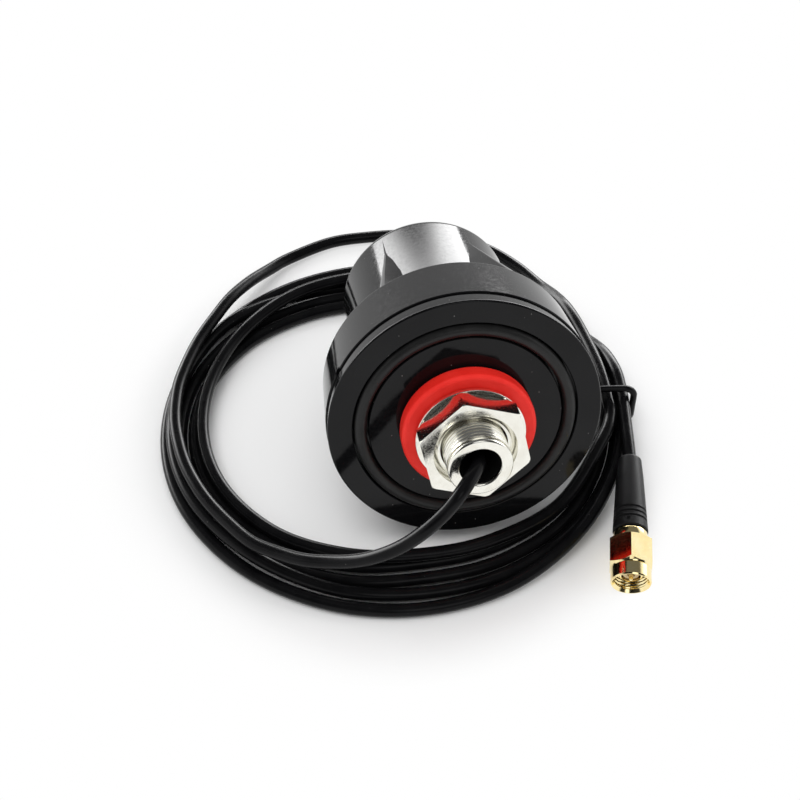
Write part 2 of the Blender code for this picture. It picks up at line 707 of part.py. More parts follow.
def coil_lift(angle):
    """How far the tie under the coil lifts it off the floor, near the tie."""
    away = abs((angle - TIE_ANGLE + 180.0) % 360.0 - 180.0)
    return TIE_LIFT * (1 + cos(pi * min(away / TIE_SPAN, 1.0))) / 2


def coil_edges(angle):
    """Inner and outer edge of the coil at an angle, on the floor."""
    hole = Vector((
        COIL_HOLE_CENTRE[0] + COIL_HOLE_RX * cos(radians(angle)),
        COIL_HOLE_CENTRE[1] + COIL_HOLE_RY * sin(radians(angle)),
    ))
    outside = Vector((
        COIL_CENTRE[0] + COIL_R * cos(radians(angle)),
        COIL_CENTRE[1] + COIL_R * sin(radians(angle)),
    ))
    return hole, outside


def make_coil(look):
    """One closed ring of the outer shape of the coiled turns."""
    bm = bmesh.new()
    sections = []
    for station in range(COIL_STATIONS):
        angle = 360.0 * station / COIL_STATIONS
        hole, outside = coil_edges(angle)
        width = (outside - hole).length
        low = coil_lift(angle)
        flat = [
            *arc(width - COIL_ROUND, low + COIL_HEIGHT - COIL_ROUND, COIL_ROUND, 0.0, 90.0, 2),
            *arc(COIL_ROUND, low + COIL_HEIGHT - COIL_ROUND, COIL_ROUND, 90.0, 180.0, 2),
            *arc(COIL_ROUND, low + COIL_ROUND, COIL_ROUND, 180.0, 270.0, 2),
            *arc(width - COIL_ROUND, low + COIL_ROUND, COIL_ROUND, 270.0, 360.0, 2),
        ]
        section = []
        for across, height in flat:
            spot = hole.lerp(outside, across / width)
            section.append((spot.x, spot.y, height))
        sections.append(section)
    loft(bm, sections, closed=True)
    add_object("cable_coil", finish_mesh(bm, "cable_coil", 60.0), None, look)


def make_tie(look):
    """Flat band with rounded corners around the coil and the two strands on it."""
    opening_h = GAP + COIL_HEIGHT + GAP + CABLE_D + GAP
    middle_h = TIE_T + opening_h / 2
    corner = min(TIE_ROUND, opening_h / 3)
    centre = Vector((COIL_CENTRE[0], COIL_CENTRE[1]))
    outward = Vector((cos(radians(TIE_ANGLE)), sin(radians(TIE_ANGLE))))
    forward = Vector((-outward.y, outward.x))
    spot = centre + outward * TIE_CENTRE_R
    sections = []
    for quarter in range(4):
        across_sign, up_sign = ((1, 1), (-1, 1), (-1, -1), (1, -1))[quarter]
        for step in range(4):
            angle = radians(90.0 * quarter + 90.0 * step / 3)
            section = []
            for thickness, along in ((0.0, -1), (TIE_T, -1), (TIE_T, 1), (0.0, 1)):
                reach = corner + thickness
                across = across_sign * (TIE_OPENING_W / 2 - corner) + reach * cos(angle)
                up = middle_h + up_sign * (opening_h / 2 - corner) + reach * sin(angle)
                place = spot + outward * across + forward * (along * TIE_BAND / 2)
                section.append((place.x, place.y, up))
            sections.append(section)
    bm = bmesh.new()
    loft(bm, sections, closed=True)
    add_object("cable_tie", finish_mesh(bm, "cable_tie"), None, look)


def connector_direction():
    level = cos(radians(CONNECTOR_RISE))
    heading = radians(CONNECTOR_HEADING)
    return Vector((level * cos(heading), level * sin(heading), sin(radians(CONNECTOR_RISE))))


def make_lead(face, outward, look):
    """The free lead: from the stud's bore to the tie, and from the tie into the boot."""
    straight = [face + outward * (CABLE_SPLIT + GAP + step * CABLE_D) for step in range(3)]
    tube("lead_out", straight + LEAD_ROUTE, CABLE_D, look)
    nose = Vector(CONNECTOR_NOSE)
    into_boot = []
    for share in (1.0, 0.75, 0.5, 0.25, 0.0):
        depth = TAIL_END_DEPTH + (BOOT_END_DEPTH - TAIL_END_DEPTH) * share
        into_boot.append(nose + connector_direction() * depth)
    tube("lead_tail", TAIL_ROUTE + into_boot, CABLE_D, look)


def make_boot(connector, look):
    """Tapered sleeve with fine grooves near the connector, bored for the crimp and the cable."""
    groove_points = []
    for groove in range(BOOT_GROOVE_COUNT):
        middle = BOOT_DEPTH + BOOT_GROOVE_FIRST + groove * BOOT_GROOVE_PITCH
        for along, depth in ((-1, 0.0), (0, BOOT_GROOVE_DEPTH), (1, 0.0)):
            at = middle + along * BOOT_GROOVE_W / 2
            groove_points.append((boot_radius(at) - depth, at))
    crimp_r = CABLE_HOLE_R + CRIMP_WALL + GAP
    crimp_end = BOOT_DEPTH + CRIMP_LENGTH + GAP
    turned("strain_boot", [
        (crimp_r, BOOT_DEPTH), (BOOT_R, BOOT_DEPTH), *groove_points,
        (BOOT_MID_R, BOOT_END_DEPTH - BOOT_MID_FROM_END),
        *arc(BOOT_END_R - BOOT_END_ROUND, BOOT_END_DEPTH - BOOT_END_ROUND, BOOT_END_ROUND, 0.0, 90.0, 3),
        (CABLE_HOLE_R, BOOT_END_DEPTH), (CABLE_HOLE_R, crimp_end), (crimp_r, crimp_end),
    ], SIDES_SMALL, connector, look)


def boot_radius(depth):
    """Outer radius of the boot, in two straight tapers from the connector to the cable."""
    middle = BOOT_END_DEPTH - BOOT_MID_FROM_END
    if depth < middle:
        return BOOT_R + (BOOT_MID_R - BOOT_R) * (depth - BOOT_DEPTH) / (middle - BOOT_DEPTH)
    return BOOT_MID_R + (BOOT_END_R - BOOT_MID_R) * (depth - middle) / BOOT_MID_FROM_END


def make_crimp(connector, look):
    end = BOOT_DEPTH + CRIMP_LENGTH
    outer = CABLE_HOLE_R + CRIMP_WALL
    turned("crimp_ferrule", [
        (CABLE_HOLE_R, BOOT_DEPTH), (outer, BOOT_DEPTH), (outer, end), (CABLE_HOLE_R, end),
    ], SIDES_SMALL, connector, look)


def make_connector_body(connector, look):
    clip_front = CLIP_DEPTH - GAP
    clip_back = CLIP_DEPTH + CLIP_T + GAP
    clip_floor = CLIP_R - CLIP_WALL - GAP
    neck_end = NECK_DEPTH + NECK_LENGTH
    turned("connector_body", [
        (BODY_BORE_R, SLEEVE_DEPTH), (SLEEVE_R, SLEEVE_DEPTH), (SLEEVE_R, BODY_FACE_DEPTH),
        (BODY_R, BODY_FACE_DEPTH), (BODY_R, clip_front), (clip_floor, clip_front),
        (clip_floor, clip_back), (BODY_R, clip_back), (BODY_R, NECK_DEPTH), (NECK_R, NECK_DEPTH),
        (NECK_R, neck_end), (STUB_R, neck_end), (STUB_R, neck_end + STUB_LENGTH),
        (0.0, neck_end + STUB_LENGTH), (0.0, BODY_BORE_END), (BODY_BORE_R, BODY_BORE_END),
    ], SIDES_SMALL, connector, look)


def make_coupling_nut(connector, look):
    """Nut that turns on the connector body: a round nose, a hexagon, and a groove for the clip."""
    clip_front = CLIP_DEPTH - GAP - CLIP_PLAY
    clip_back = CLIP_DEPTH + CLIP_T + GAP + CLIP_PLAY
    running_r = BODY_R + GAP
    shoulder = COUPLING_FLAT / cos(pi / 6) - COUPLING_R
    slope_length = shoulder * tan(radians(CHAMFER_ANGLE))
    hexagonal = hexagon(COUPLING_FLAT)
    near_round = hexagon(COUPLING_FLAT, COUPLING_R + COUPLING_LEAD_IN)
    turned("coupling_nut", [
        (COUPLING_THREAD_R + GAP, 0.0), (COUPLING_R - GAP / 2, 0.0), (COUPLING_R, GAP),
        (COUPLING_R, COUPLING_ROUND_LENGTH), (near_round, COUPLING_ROUND_LENGTH + GAP / 2),
        (hexagonal, COUPLING_ROUND_LENGTH + GAP / 2 + slope_length),
        (hexagonal, COUPLING_LENGTH - slope_length), (near_round, COUPLING_LENGTH),
        (running_r, COUPLING_LENGTH), (running_r, clip_back), (CLIP_R + GAP, clip_back),
        (CLIP_R + GAP, clip_front), (running_r, clip_front), (running_r, COUPLING_THREAD_LENGTH),
        (COUPLING_THREAD_R, COUPLING_THREAD_LENGTH), (COUPLING_THREAD_R, GAP),
    ], SIDES_SMALL, connector, look).rotation_euler = (0.0, 0.0, radians(COUPLING_CORNER_ANGLE))


def make_connector_inside(connector, gold, white, rubber, spring):
    dielectric_r = BODY_BORE_R - GAP
    inside_end = BODY_BORE_END - GAP
    turned("connector_dielectric", [
        (DIELECTRIC_HOLE_R, SLEEVE_DEPTH + GAP), (dielectric_r, SLEEVE_DEPTH + GAP),
        (dielectric_r, inside_end), (DIELECTRIC_HOLE_R, inside_end),
    ], SIDES_SMALL, connector, white)
    turned("centre_pin", [
        (0.0, PIN_DEPTH), (PIN_R / 3, PIN_DEPTH), (PIN_R, PIN_DEPTH + PIN_TIP), (PIN_R, inside_end),
        (0.0, inside_end),
    ], SIDES_FINE, connector, gold)
    gasket_back = BODY_FACE_DEPTH - GAP
    gasket_front = gasket_back - JOINT_GASKET_T
    gasket_in = JOINT_GASKET_R - JOINT_GASKET_WALL
    turned("connector_gasket", [
        (gasket_in, gasket_front), (JOINT_GASKET_R, gasket_front), (JOINT_GASKET_R, gasket_back),
        (gasket_in, gasket_back),
    ], SIDES_SMALL, connector, rubber)
    clip_in = CLIP_R - CLIP_WALL
    clip = turned("retaining_ring", [
        (clip_in, CLIP_DEPTH), (CLIP_R, CLIP_DEPTH), (CLIP_R, CLIP_DEPTH + CLIP_T),
        (clip_in, CLIP_DEPTH + CLIP_T),
    ], SIDES_SMALL, connector, spring)
    slit = bmesh.new()
    add_box(slit, (-CLIP_SLIT / 2, 0.0, CLIP_DEPTH - CLIP_T),
            (CLIP_SLIT / 2, 2 * CLIP_R, CLIP_DEPTH + 2 * CLIP_T))
    combine(clip, guide("clip_slit", slit, connector), "DIFFERENCE")


def main():
    clear_scene()
    black = material("gloss_black_plastic", (0.020, 0.020, 0.022), 0.18)
    seal = material("seal_rubber", (0.018, 0.018, 0.018), 0.70)
    jacket = material("cable_jacket", (0.015, 0.015, 0.016), 0.42)
    boot_rubber = material("boot_rubber", (0.016, 0.016, 0.017), 0.50)
    red = material("red_silicone", (0.72, 0.03, 0.03), 0.42)
    nickel = material("nickel_plate", (0.75, 0.73, 0.70), 0.15, 1.0)
    gold = material("gold_plate", (0.90, 0.66, 0.25), 0.16, 1.0)
    brass = material("brass_sheet", (0.72, 0.52, 0.22), 0.32, 1.0)
    tinned = material("tinned_steel", (0.62, 0.62, 0.60), 0.30, 1.0)
    copper = material("bare_copper", (0.80, 0.42, 0.25), 0.30, 1.0)
    laminate = material("glass_epoxy", (0.10, 0.22, 0.10), 0.50)
    white = material("white_dielectric", (0.85, 0.85, 0.82), 0.45)

    tilt = tilt_on_floor()
    face = Vector(face_centre(tilt))
    outward = Vector((0.0, -cos(tilt), sin(tilt)))
    axis = axis_frame("antenna_axis", face, outward)
    make_base_plate(axis, black)
    make_cover(axis, black)
    make_seals(axis, seal)
    make_stud(axis, nickel)
    make_fasteners(axis, red, nickel)
    make_ground_plane(axis, tinned)
    make_screws(axis, tinned)
    make_board(axis, laminate)
    make_radiator(axis, brass)
    make_cable_fittings(axis, brass, seal)
    make_inner_cable(axis, jacket, copper)

    connector = axis_frame("connector_axis", CONNECTOR_NOSE, connector_direction())
    make_lead(face, outward, jacket)
    make_coil(jacket)
    make_tie(jacket)
    make_boot(connector, boot_rubber)
    make_crimp(connector, tinned)
    make_connector_body(connector, gold)
    make_coupling_nut(connector, gold)
    make_connector_inside(connector, gold, white, seal, tinned)
    bpy.context.view_layer.update()


main()
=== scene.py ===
"""Looks of the stud-mounted antenna that lies on its side in its coiled lead.

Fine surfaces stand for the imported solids: moulded black plastic, rubber, nickel and gold plate, cut
threads, and the lead as one continuous cord from the stud to the plug. Offsets along the antenna are
measured out of its mounting face, and depths along the connector from its nose. Sizes are in metres and
angles in degrees.
"""

import json
from math import cos, pi, radians, sin, tan

import bmesh
import bpy
from mathutils import Matrix, Vector

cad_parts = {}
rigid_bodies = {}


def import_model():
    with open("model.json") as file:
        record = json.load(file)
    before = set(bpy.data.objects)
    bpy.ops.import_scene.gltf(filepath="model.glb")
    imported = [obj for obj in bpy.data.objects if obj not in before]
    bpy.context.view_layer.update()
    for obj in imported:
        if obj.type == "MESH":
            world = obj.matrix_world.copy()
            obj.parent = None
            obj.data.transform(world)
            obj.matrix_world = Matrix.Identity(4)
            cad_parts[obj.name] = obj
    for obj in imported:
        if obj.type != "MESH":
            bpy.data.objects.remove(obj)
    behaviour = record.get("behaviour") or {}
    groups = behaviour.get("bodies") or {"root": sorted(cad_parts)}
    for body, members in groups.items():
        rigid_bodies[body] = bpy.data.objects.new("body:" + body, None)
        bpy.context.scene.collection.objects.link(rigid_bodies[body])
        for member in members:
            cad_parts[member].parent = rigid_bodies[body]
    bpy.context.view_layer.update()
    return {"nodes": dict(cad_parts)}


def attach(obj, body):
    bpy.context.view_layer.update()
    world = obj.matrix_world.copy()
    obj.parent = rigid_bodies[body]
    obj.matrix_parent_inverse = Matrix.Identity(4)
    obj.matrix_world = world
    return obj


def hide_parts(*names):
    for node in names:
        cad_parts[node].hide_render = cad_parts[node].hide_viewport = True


# Places of the two axes, as in the solids
TILT = 13.842
FACE_CENTRE = (0.0, -0.018132, 0.028218)
NOSE = (0.0280, -0.0430, 0.0048)
NOSE_TO_CABLE = (0.230794, 0.968772, 0.090633)

# Camera at the photograph's angle
CAMERA_AT = (-0.0400, -0.1975, 0.2378)
CAMERA_AIM = (-0.0075, 0.0142, 0.0)
CAMERA_LENS = 67.05
CAMERA_SENSOR = 36.0
CAMERA_CLIP_START = 0.01

# Antenna: the base, the cover with its flange, cap and ribs, and their rubber rings
GAP = 0.0003
BASE_R = 0.0260
BASE_WEB = 0.0030
BASE_DRAFT = 0.00025
BASE_LIP = 0.00015
EDGE_ROUND = 0.0004
COVER_INNER_R = 0.0229
COVER_OPEN = -(BASE_WEB + GAP)
SPIGOT_WALL = 0.0032
SPIGOT_END = -0.0070
BOSS_R = 0.0120
BOSS_TOP = -0.0061
POST_COUNT = 4
POST_FIRST_ANGLE = 45.0
POST_RING_R = 0.0160
POST_R = 0.0029
POST_SIDES = 24
WALL = 0.0022
FLANGE_R = 0.0252
SHOULDER = 0.0162
FLANGE_ROUND = 0.0006
CAP_R = 0.0174
OVERALL = 0.0497
CAP_ROUND = 0.0027
CAP_FILLET = 0.0030
NOTCH_ANGLE = 152.5
NOTCH_SIZE = 0.0016
RIB_COUNT = 6
RIB_FIRST_ANGLE = 60.7
RIB_TOP = 0.0408
RIB_FOOT_R = 0.0250
RIB_RIDGE_ROUND = 0.0003
RIB_RIDGE_STEPS = 6
SEAL_R = 0.01985
SEAL_CORD = 0.0024
SEAL_PROUD = 0.00085
SEAL_SIDES = 24
COVER_SEAL_DEPTH = 0.0050
COVER_SEAL_HALF = 0.0009
COVER_SEAL_FLOOR_R = 0.0209

# Sections of a rib from its tip to its foot: depth under the mounting face, half width at the cap's wall
# and half width of the rounded ridge
RIB_SECTIONS = (
    (RIB_TOP + 0.00055, 0.0005, RIB_RIDGE_ROUND), (0.0380, 0.0016, RIB_RIDGE_ROUND),
    (0.0326, 0.0024, RIB_RIDGE_ROUND), (0.0250, 0.0027, 0.0004), (SHOULDER, 0.0028, 0.0007),
    (SHOULDER - WALL / 2, 0.0028, 0.0007),
)

# Stud, gasket, washer and nut. Pairs are the offsets at which a piece or thread starts and ends.
STUD_R = 0.0060
STUD_HOLE_R = STUD_R + GAP
STUD_LENGTH = 0.0147
STUD_BORE_R = 0.0036
STUD_MOUTH_R = 0.0042
STUD_CHAMFER = 0.0005
STUD_HEAD_FLAT = 0.0080
STUD_THREAD = (0.0062, 0.0137)
THREAD_PITCH = 0.0009
THREAD_DEPTH = 0.00026
THREAD_FADE = 0.0007
THREAD_ROWS_PER_TURN = 10
GASKET = (GAP, 0.0040)
GASKET_R = 0.0127
GASKET_ROUND = 0.0009
WASHER = (0.0043, 0.0052)
WASHER_R = 0.01035
WASHER_ROUND = 0.00012
NUT = (0.0053, 0.0098)
NUT_FLAT = 0.0094
NUT_CORNER_ANGLE = 101.0
NUT_REAR_FACE_R = 0.0099
NUT_FRONT_FACE_R = 0.0106
NUT_EDGE = 0.00008
NUT_COUNTERSINK_R = 0.0078
NUT_STEP_R = 0.0069
NUT_COUNTERSINK_DEPTH = 0.0009
NUT_STEP_DEPTH = 0.0016
CHAMFER_SLOPE = tan(radians(30.0))

# Lead, and the offsets of its first points, inside the stud
LEAD_D = 0.0027
LEAD_SPACING = 0.0012
LEAD_START = (0.0063, 0.0090, 0.0117)

# The lead from the stud round the coil and to the tie, as in the solids
LEAD_ROUTE = [
    (-0.0004, -0.0317, 0.0315), (-0.0042, -0.0367, 0.0310), (-0.0073, -0.0384, 0.0280),
    (-0.0112, -0.0394, 0.0245), (-0.0153, -0.0392, 0.0205), (-0.0196, -0.0382, 0.0170),
    (-0.0238, -0.0365, 0.0140), (-0.0285, -0.0341, 0.0115), (-0.0330, -0.0317, 0.0098),
    (-0.0374, -0.0284, 0.0084), (-0.0421, -0.0244, 0.0074), (-0.0461, -0.0189, 0.0069),
    (-0.0498, -0.0127, 0.0067), (-0.0522, -0.0072, 0.0067), (-0.0539, -0.0015, 0.0067),
    (-0.0548, 0.0043, 0.0067), (-0.0551, 0.0098, 0.0067), (-0.0546, 0.0153, 0.0067),
    (-0.0535, 0.0206, 0.0067), (-0.0510, 0.0273, 0.0067), (-0.0483, 0.0330, 0.0067),
    (-0.0449, 0.0385, 0.0067), (-0.0410, 0.0446, 0.0063), (-0.0363, 0.0509, 0.0047),
    (-0.0313, 0.0564, 0.0028), (-0.0263, 0.0604, 0.0019), (-0.0164, 0.0647, 0.0015),
    (-0.0070, 0.0654, 0.0014), (0.0026, 0.0646, 0.0014), (0.0118, 0.0621, 0.0014),
    (0.0195, 0.0570, 0.0014), (0.0250, 0.0502, 0.0016), (0.0288, 0.0424, 0.0024),
    (0.0310, 0.0365, 0.0042), (0.0322, 0.0309, 0.0060), (0.0330, 0.0261, 0.0068),
    (0.0336, 0.0217, 0.0070), (0.0342, 0.0151, 0.0075), (0.0345, 0.0099, 0.0078),
    (0.0344, 0.0047, 0.0080), (0.0341, 0.0006, 0.0079), (0.0336, -0.0035, 0.0077),
]

# The lead from beside the tie to the boot, as in the solids
TAIL_ROUTE = [
    (0.0376, 0.0090, 0.0080), (0.0375, 0.0040, 0.0080), (0.0371, 0.0002, 0.0079),
    (0.0365, -0.0037, 0.0078), (0.0359, -0.0075, 0.0077), (0.0353, -0.0113, 0.0076),
]
TAIL_DEPTHS = (0.0285, 0.02475, 0.0210, 0.01725, 0.0135)

# The coil's five turns, clockwise seen from above. Each row is a direction from the coil's centre, in
# degrees from +X, and the radius and height of each turn there, in millimetres. The
# first turn begins past the start, and the last ends in a short rise to the tie.
COIL_CENTRE = (-0.0104, 0.0067)
COIL_START = -15
COIL_ROWS = (
    (0, (44.8, 8.0), (44.5, 5.2), (44.1, 2.6), (46.9, 2.6), (47.3, 5.2)),
    (-22, (43.8, 7.5), (43.0, 4.8), (43.8, 2.2), (46.6, 2.2), (47.5, 4.9)),
    (-45, (41.4, 5.3), (40.4, 2.7), (42.9, 1.4), (45.7, 1.4), (47.4, 3.5)),
    (-68, (38.0, 4.2), (37.9, 1.5), (41.4, 1.4), (44.5, 1.4), (47.3, 1.8)),
    (-90, (36.4, 4.05), (36.6, 1.4), (40.2, 1.4), (43.6, 1.4), (47.1, 1.4)),
    (-112, (36.7, 3.8), (37.8, 1.4), (41.3, 1.4), (44.2, 2.4), (47.0, 1.4)),
    (-135, (37.8, 3.4), (39.4, 1.4), (42.6, 1.4), (44.6, 3.5), (47.0, 1.4)),
    (-158, (38.8, 3.5), (40.6, 1.4), (43.7, 1.4), (45.3, 3.7), (47.1, 1.4)),
    (-180, (39.4, 3.6), (41.3, 1.4), (44.2, 1.4), (45.7, 3.7), (47.1, 1.4)),
    (-202, (39.9, 3.9), (41.0, 1.4), (44.0, 1.4), (45.8, 3.7), (47.1, 1.4)),
    (-225, (40.8, 4.4), (39.6, 1.4), (42.9, 1.4), (45.6, 3.5), (47.1, 1.4)),
    (-248, (41.8, 4.8), (37.6, 1.4), (40.6, 1.4), (43.7, 2.1), (47.2, 1.4)),
    (-270, (42.3, 4.3), (36.4, 1.4), (39.2, 1.4), (42.0, 1.5), (47.3, 1.4)),
    (-292, (42.4, 4.3), (38.4, 1.4), (41.4, 1.4), (44.3, 2.6), (47.3, 1.4)),
    (-315, (42.9, 4.4), (41.4, 1.5), (44.3, 1.5), (45.8, 4.1), (47.3, 1.8)),
    (-338, (44.0, 4.6), (43.4, 1.8), (46.2, 1.8), (46.7, 4.7), (47.5, 3.6)),
)
LAST_RISE = (-349, (48.0, 6.5))

# Tie round the coil
TIE_ANGLE = -7.0
TIE_CENTRE_R = 0.0458
TIE_CORD_R = 0.0007
TIE_OPENING = (0.0076, 0.0086)
TIE_CORNER = 0.0023
TIE_CORNER_STEPS = 8

# Boot, in depths from the nose, with its grooves. Their shape is a row of places across half a groove's
# width and shares of its depth. The dot is a shallow hole, cut by a cylinder that rises out of the surface.
BOOT = (0.0113, 0.0285)
BOOT_RADII = (0.00345, 0.00275, 0.00240)
BOOT_BEND_DEPTH = 0.0238
BOOT_END_ROUND = 0.0005
BOOT_BORE_R = 0.00165
BOOT_CRIMP_R = 0.0025
BOOT_CRIMP_END = 0.0181
BOOT_EDGE = 0.0002
BOOT_ROWS = 8
GROOVE_COUNT = 3
GROOVE_FIRST = 0.0135
GROOVE_PITCH = 0.0011
GROOVE_W = 0.0005
GROOVE_DEPTH = 0.00028
GROOVE_SHAPE = ((-1.0, 0.0), (-0.6, 0.7), (0.0, 1.0), (0.6, 0.7), (1.0, 0.0))
DOT_DEPTH = 0.01265
DOT_R = 0.0004
DOT_ANGLE = 78.0
DOT_SIDES = 24
DOT_CUTTER_LENGTH = 0.0006
DOT_CUTTER_RISE = 0.0001

# Connector, in depths from the nose
PLUG_EDGE = 0.0002
PIN_EDGE = 0.0001
BODY_FACE = 0.0053
BODY_R = 0.00275
NECK = (0.0094, 0.0110)
NECK_R = 0.0033
BORE_END = 0.0101
SLEEVE_R = 0.00225
SLEEVE_BORE_R = 0.00185
SLEEVE_DEPTH = 0.0016
STUB_R = 0.00135
STUB_LENGTH = 0.0022
PIN_R = 0.00045
PIN_DEPTH = 0.0007
DIELECTRIC_R = 0.00155
DIELECTRIC_HOLE_R = 0.00075
DIELECTRIC_DEPTH = 0.0019
INSIDE_END = 0.0098
COUPLING_R = 0.0039
COUPLING_FLAT = 0.0040
COUPLING_ROUND_LENGTH = 0.0030
COUPLING_LENGTH = 0.0091
COUPLING_CORNER_ANGLE = 85.0
COUPLING_MOUTH_R = 0.00360
COUPLING_THREAD_R = 0.00315
COUPLING_NOSE_EDGE = (0.00015, 0.00025)
COUPLING_NICK = 0.0001
COUPLING_BORE_STEP = 0.0048
COUPLING_THREAD = (0.0006, 0.0046)
COUPLING_THREAD_PITCH = 0.0007
COUPLING_THREAD_DEPTH = 0.00025
COUPLING_THREAD_FADE = 0.0003
RUNNING_R = 0.00305
CLIP_R = 0.0035
CLIP_GROOVE = (0.0068, 0.0083)
BODY_GROOVE = (0.0070, 0.0081)
BODY_GROOVE_R = 0.00215

# Floor: pale paper near the object, plain white beyond this ring round the coil
FLOOR_SIZE = 4.0
FLOOR_FADE = (0.050, 0.064)
PAPER_COLOUR = (0.94, 0.94, 0.94)
PAPER_ROUGHNESS = 0.9
PAPER_SPECULAR = 0.1

# The white room that gloss mirrors. Heights are sines of the angle above the horizon, and the halves are
# told apart by a direction's share along +Y. The room is dark above and on the camera's side, and the
# foot of its back window sags to both sides. A round lamp shines on the front from beside the camera.
ROOM_HEIGHTS = (0.52, 0.68)
ROOM_DARK = 0.14
FRONT_HALF = (-0.45, -0.15)
FRONT_HEIGHTS = (0.16, 0.32)
FRONT_DARK = 0.03
BACK_HALF = (0.2, 0.7)
WINDOW_FOOT = (0.245, 0.325)
WINDOW_HEAD = (0.36, 0.45)
WINDOW_SAG = 1.6
WINDOW_STRENGTH = 12.0
FRONT_LAMP = (0.12, -0.66, 0.74)
FRONT_LAMP_EDGE = (0.955, 0.985)
FRONT_LAMP_STRENGTH = 1.5

# Even light on all surfaces, and the soft lamps, each with its name, place, size and power
FILL_STRENGTH = 0.6
SOFTBOXES = (
    ("back_softbox", (0.05, 0.80, 0.60), (0.9, 0.5), 3.0),
    ("top_softbox", (-0.30, -0.10, 0.95), (0.6, 0.6), 3.2),
    ("right_softbox", (0.85, -0.15, 0.55), (0.5, 0.5), 1.5),
)

# Finishes: noise between these two values sets the colour and roughness, and specks of dust sit in the
# middles of the cells of a finer pattern
NOISE_RANGE = (0.35, 0.65)
NOISE_ROUGHNESS = 0.55
PATCH_DETAIL = 3.0
GRAIN_DETAIL = 2.0
DUST_SCALE = 420.0
DUST_REACH = (0.025, 0.05)
DUST_COLOUR = (0.32, 0.31, 0.30)
WAVE_SCALE_PER_RING = 0.31
WAVE_DISTORTION = 1.5
MICROMETRE = 0.000001
WHITE = (1.0, 1.0, 1.0, 1.0)

# Sockets of a mix node that blends colours
MIX_FIRST = 6
MIX_SECOND = 7
MIX_RESULT = 2

# Sides of turned surfaces, and the largest angle between faces that are shaded as one
SIDES = 192
FINE_SIDES = 96
PIN_SIDES = 48
SMOOTH_ANGLE = 32.0
STUD_SMOOTH_ANGLE = 50.0
HEXAGON_SMOOTH_ANGLE = 24.0

# Finishes of the solids that show as they are
SOLID_FINISHES = {
    "cover_seal_ring": "seal", "ground_plane": "tinned", "ground_screw_1": "tinned",
    "ground_screw_2": "tinned", "ground_screw_3": "tinned", "ground_screw_4": "tinned",
    "antenna_board": "board", "radiator": "brass", "feed_wire": "copper", "cable_ferrule": "brass",
    "cable_grommet": "seal", "cable_inside": "cable", "crimp_ferrule": "tinned",
    "connector_gasket": "seal", "retaining_ring": "tinned",
}


def axis_place(origin, along):
    """Transform whose local Z runs along the direction, with local X level."""
    z = Vector(along).normalized()
    x = Vector((0.0, 0.0, 1.0)).cross(z).normalized()
    y = z.cross(x)
    turn = Matrix((x, y, z)).transposed().to_4x4()
    return Matrix.Translation(Vector(origin)) @ turn


ANTENNA = axis_place(FACE_CENTRE, (0.0, -cos(radians(TILT)), sin(radians(TILT))))
CONNECTOR = axis_place(NOSE, NOSE_TO_CABLE)


def on_axis(place, distance):
    """Point on the local Z axis of a place."""
    return place @ Vector((0.0, 0.0, distance))


# Shapes


def mesh_of(bm, name, place):
    """Mesh of a closed surface with its normals outwards, brought to its place."""
    bmesh.ops.recalc_face_normals(bm, faces=bm.faces)
    mesh = bpy.data.meshes.new(name)
    bm.to_mesh(mesh)
    bm.free()
    mesh.transform(place)
    return mesh


def shade(mesh, smooth_angle):
    """Smooth shading that stops at sharp edges."""
    mesh.shade_smooth()
    mesh.set_sharp_from_angle(angle=radians(smooth_angle))


def add_object(name, data):
    """New object of the scene."""
    made = bpy.data.objects.new(name, data)
    bpy.context.scene.collection.objects.link(made)
    return made


def add_piece(bm, name, place, look, body="antenna", smooth_angle=SMOOTH_ANGLE):
    """Rigid piece that rides on a body."""
    mesh = mesh_of(bm, name, place)
    shade(mesh, smooth_angle)
    mesh.materials.append(look)
    made = add_object(name, mesh)
    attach(made, body)
    return made


def arc(centre_r, centre_s, radius, start, end, steps):
    """Points of a round in a profile, its angles from +r towards +s."""
    points = []
    for step in range(steps + 1):
        angle = radians(start + (end - start) * step / steps)
        points.append((centre_r + radius * cos(angle), centre_s + radius * sin(angle)))
    return points


def disc(span, outer_r, edge, steps):
    """Profile of a flat ring on the stud with a rounded rim."""
    low, high = span
    rim = outer_r - edge
    return [
        (STUD_HOLE_R, low), *arc(rim, low + edge, edge, -90.0, 0.0, steps),
        *arc(rim, high - edge, edge, 0.0, 90.0, steps), (STUD_HOLE_R, high),
    ]


def value_at(number_or_function, angle):
    """A fixed number, or the value of a function at the angle."""
    return number_or_function(angle) if callable(number_or_function) else number_or_function


def turned(profile, sides, start_angle=0.0):
    """Closed surface turned about Z. Radii and offsets of the profile may depend on the angle."""
    bm = bmesh.new()
    rings = []
    for radius, offset in profile:
        if radius == 0.0:
            rings.append([bm.verts.new((0.0, 0.0, offset))] * sides)
            continue
        ring = []
        for side in range(sides):
            angle = 2 * pi * side / sides
            reach = value_at(radius, angle)
            turn = angle + radians(start_angle)
            spot = (reach * cos(turn), reach * sin(turn), value_at(offset, angle))
            ring.append(bm.verts.new(spot))
        rings.append(ring)
    for low, high in zip(rings, rings[1:] + rings[:1]):
        for side in range(sides):
            following = (side + 1) % sides
            corners = (low[side], low[following], high[following], high[side])
            distinct = list(dict.fromkeys(corners))
            if len(distinct) > 2:
                bm.faces.new(distinct)
    return bm


def loft(bm, sections):
    """Closed skin over sections of equally many points."""
    rows = [[bm.verts.new(point) for point in section] for section in sections]
    count = len(rows[0])
    for row, following_row in zip(rows, rows[1:]):
        for i in range(count):
            j = (i + 1) % count
            bm.faces.new((row[i], row[j], following_row[j], following_row[i]))
    bm.faces.new(rows[0][::-1])
    bm.faces.new(rows[-1])


